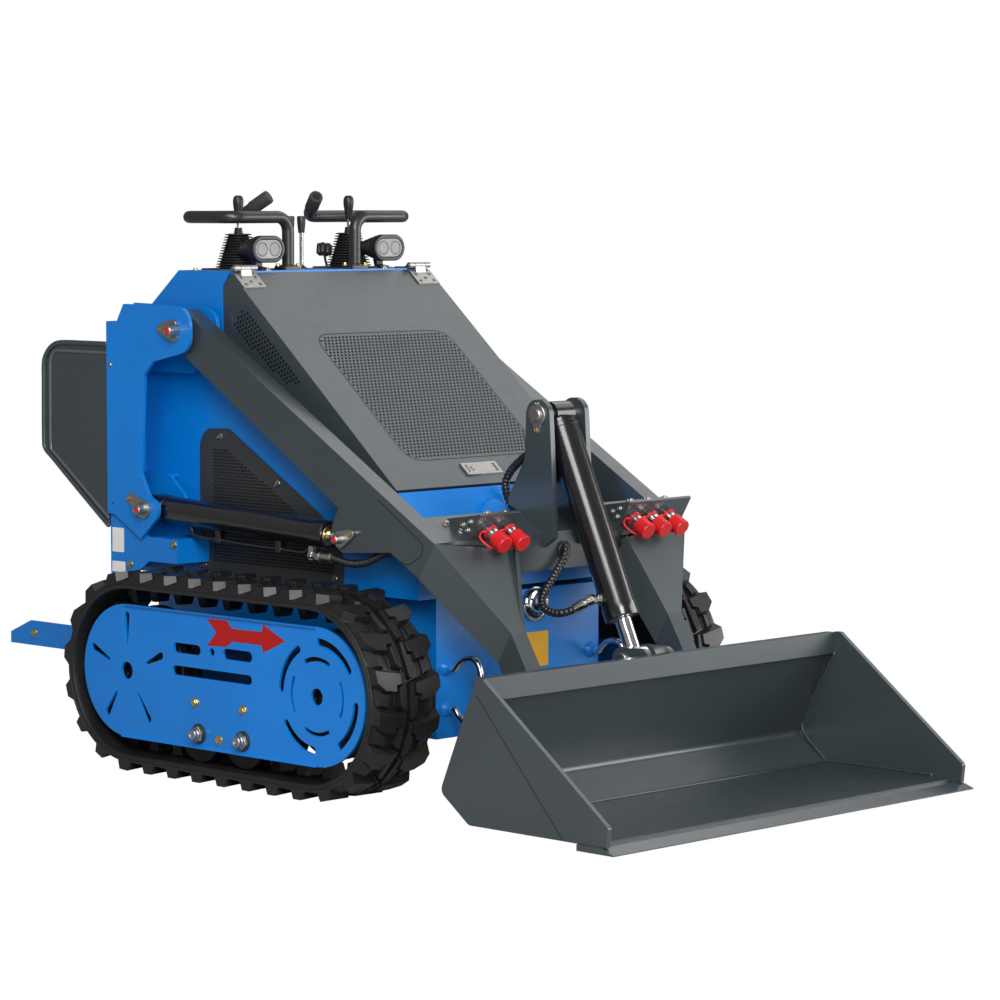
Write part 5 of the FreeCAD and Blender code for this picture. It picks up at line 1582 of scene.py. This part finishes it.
# ------------------------------------------------------------------ operator's platform
PLATFORM_TOP = 190.0
TREAD_PITCH = 27.04


def platform_tread():
    """Raised bars on the checkered standing plate, in alternate directions."""
    bm = bmesh.new()
    top = top_face(PLATFORM_TOP)
    for i in range(16):
        for j in range(19):
            x = -628.0 + i * TREAD_PITCH
            y = -247.0 + j * TREAD_PITCH
            turn = math.radians(45.0 if (i + j) % 2 else -45.0)
            bar = []
            for a, b in ((-9, 0), (-5, -2.3), (5, -2.3), (9, 0), (5, 2.3), (-5, 2.3)):
                bar.append((x + a * math.cos(turn) - b * math.sin(turn),
                            y + a * math.sin(turn) + b * math.cos(turn)))
            prism(bm, top, bar, -0.2, 1.6, 0.7)
    piece("platform_tread", bm, blue, "root")
    bolts = bmesh.new()
    for sign in SIDES:
        face = side_face(sign, 270.0)
        for x in (-560, -400, -230):
            hex_bolt(bolts, face, x, 212, 12.0, 5.0, 0.75)
    piece("platform_bolts", bolts, brass_bolt, "root", bevel=0.3)


platform_tread()

# ------------------------------------------------------------------ stage, lights, camera
def white_to_camera(tree, output, shader):
    """Plain white where the camera looks straight at it; otherwise as it is lit."""
    path = tree.nodes.new("ShaderNodeLightPath")
    glow = tree.nodes.new("ShaderNodeEmission")
    glow.inputs["Color"].default_value = (1.0, 1.0, 1.0, 1.0)
    glow.inputs["Strength"].default_value = 1.0
    mix = tree.nodes.new("ShaderNodeMixShader")
    tree.links.new(path.outputs["Is Camera Ray"], mix.inputs["Fac"])
    tree.links.new(shader, mix.inputs[1])
    tree.links.new(glow.outputs["Emission"], mix.inputs[2])
    tree.links.new(mix.outputs["Shader"], output.inputs["Surface"])


def stage_sheet():
    """A pale floor that curves up into the backdrop behind the machine."""
    bm = bmesh.new()
    heading = Vector((-0.70, 0.714, 0.0))
    side = Vector((heading.y, -heading.x, 0.0))
    profile = [(-14.0, 0.0), (7.0, 0.0)]
    for step in range(13):
        angle = math.radians(7.5 * step)
        profile.append((7.0 + 4.0 * math.sin(angle), 4.0 - 4.0 * math.cos(angle)))
    profile.append((11.0, 16.0))
    rows = []
    for along, up in profile:
        rows.append([bm.verts.new(heading * along + side * s + Vector((0, 0, up)))
                     for s in (-22.0, 22.0)])
    for a, b in zip(rows, rows[1:]):
        bm.faces.new((a[0], a[1], b[1], b[0]))
    floor = piece("floor", bm, floor_paint, "")


def floor_material():
    m = Nodes("pale_floor")
    m.colour(m.mix(m.ramp(m.noise(0.8), 0.3, 0.7), (0.46, 0.46, 0.46), (0.50, 0.50, 0.50)))
    m.set(Roughness=0.8)
    output = m.tree.nodes["Material Output"]
    white_to_camera(m.tree, output, m.shader.outputs["BSDF"])
    return m.material


def area_light(name, place, target, size, power):
    data = bpy.data.lights.new(name, "AREA")
    data.shape = "RECTANGLE"
    data.size, data.size_y = size
    data.energy = power
    light = bpy.data.objects.new(name, data)
    light.location = place
    light.rotation_mode = "QUATERNION"
    light.rotation_quaternion = (Vector(place) - Vector(target)).to_track_quat("Z", "Y")
    bpy.context.collection.objects.link(light)


def camera():
    target = at(1128.4, -561.3, 613.7)
    turn, lift, distance = math.radians(44.437), math.radians(4.7236), 6.4363
    back = Vector((math.sin(turn) * math.cos(lift), -math.cos(turn) * math.cos(lift),
                   math.sin(lift)))
    data = bpy.data.cameras.new("camera")
    data.sensor_width = 36.0
    data.lens = 36.0 * 3.6494
    cam = bpy.data.objects.new("camera", data)
    cam.location = target + back * distance
    cam.rotation_mode = "QUATERNION"
    cam.rotation_quaternion = back.to_track_quat("Z", "Y")
    bpy.context.collection.objects.link(cam)
    bpy.context.scene.camera = cam


def surroundings():
    world = bpy.data.worlds.new("world")
    world.use_nodes = True
    tree = world.node_tree
    background = tree.nodes["Background"]
    background.inputs["Color"].default_value = (1.0, 1.0, 1.0, 1.0)
    background.inputs["Strength"].default_value = 0.25
    white_to_camera(tree, tree.nodes["World Output"], background.outputs["Background"])
    bpy.context.scene.world = world


floor_paint = floor_material()
stage_sheet()
area_light("key", (3.0, -3.9, 4.0), (0.2, 0.0, 0.4), (3.0, 3.0), 235.0)
area_light("front", (6.3, -4.2, 2.3), (0.3, 0.0, 0.4), (2.8, 2.2), 265.0)
area_light("left_high", (-0.2, 4.2, 4.7), (0.2, 0.0, 0.6), (5.5, 3.5), 72.0)
area_light("left_front", (4.2, 4.4, 1.4), (0.4, 0.0, 0.5), (5.0, 3.0), 215.0)
surroundings()
bpy.context.scene.view_settings.view_transform = "Standard"
camera()
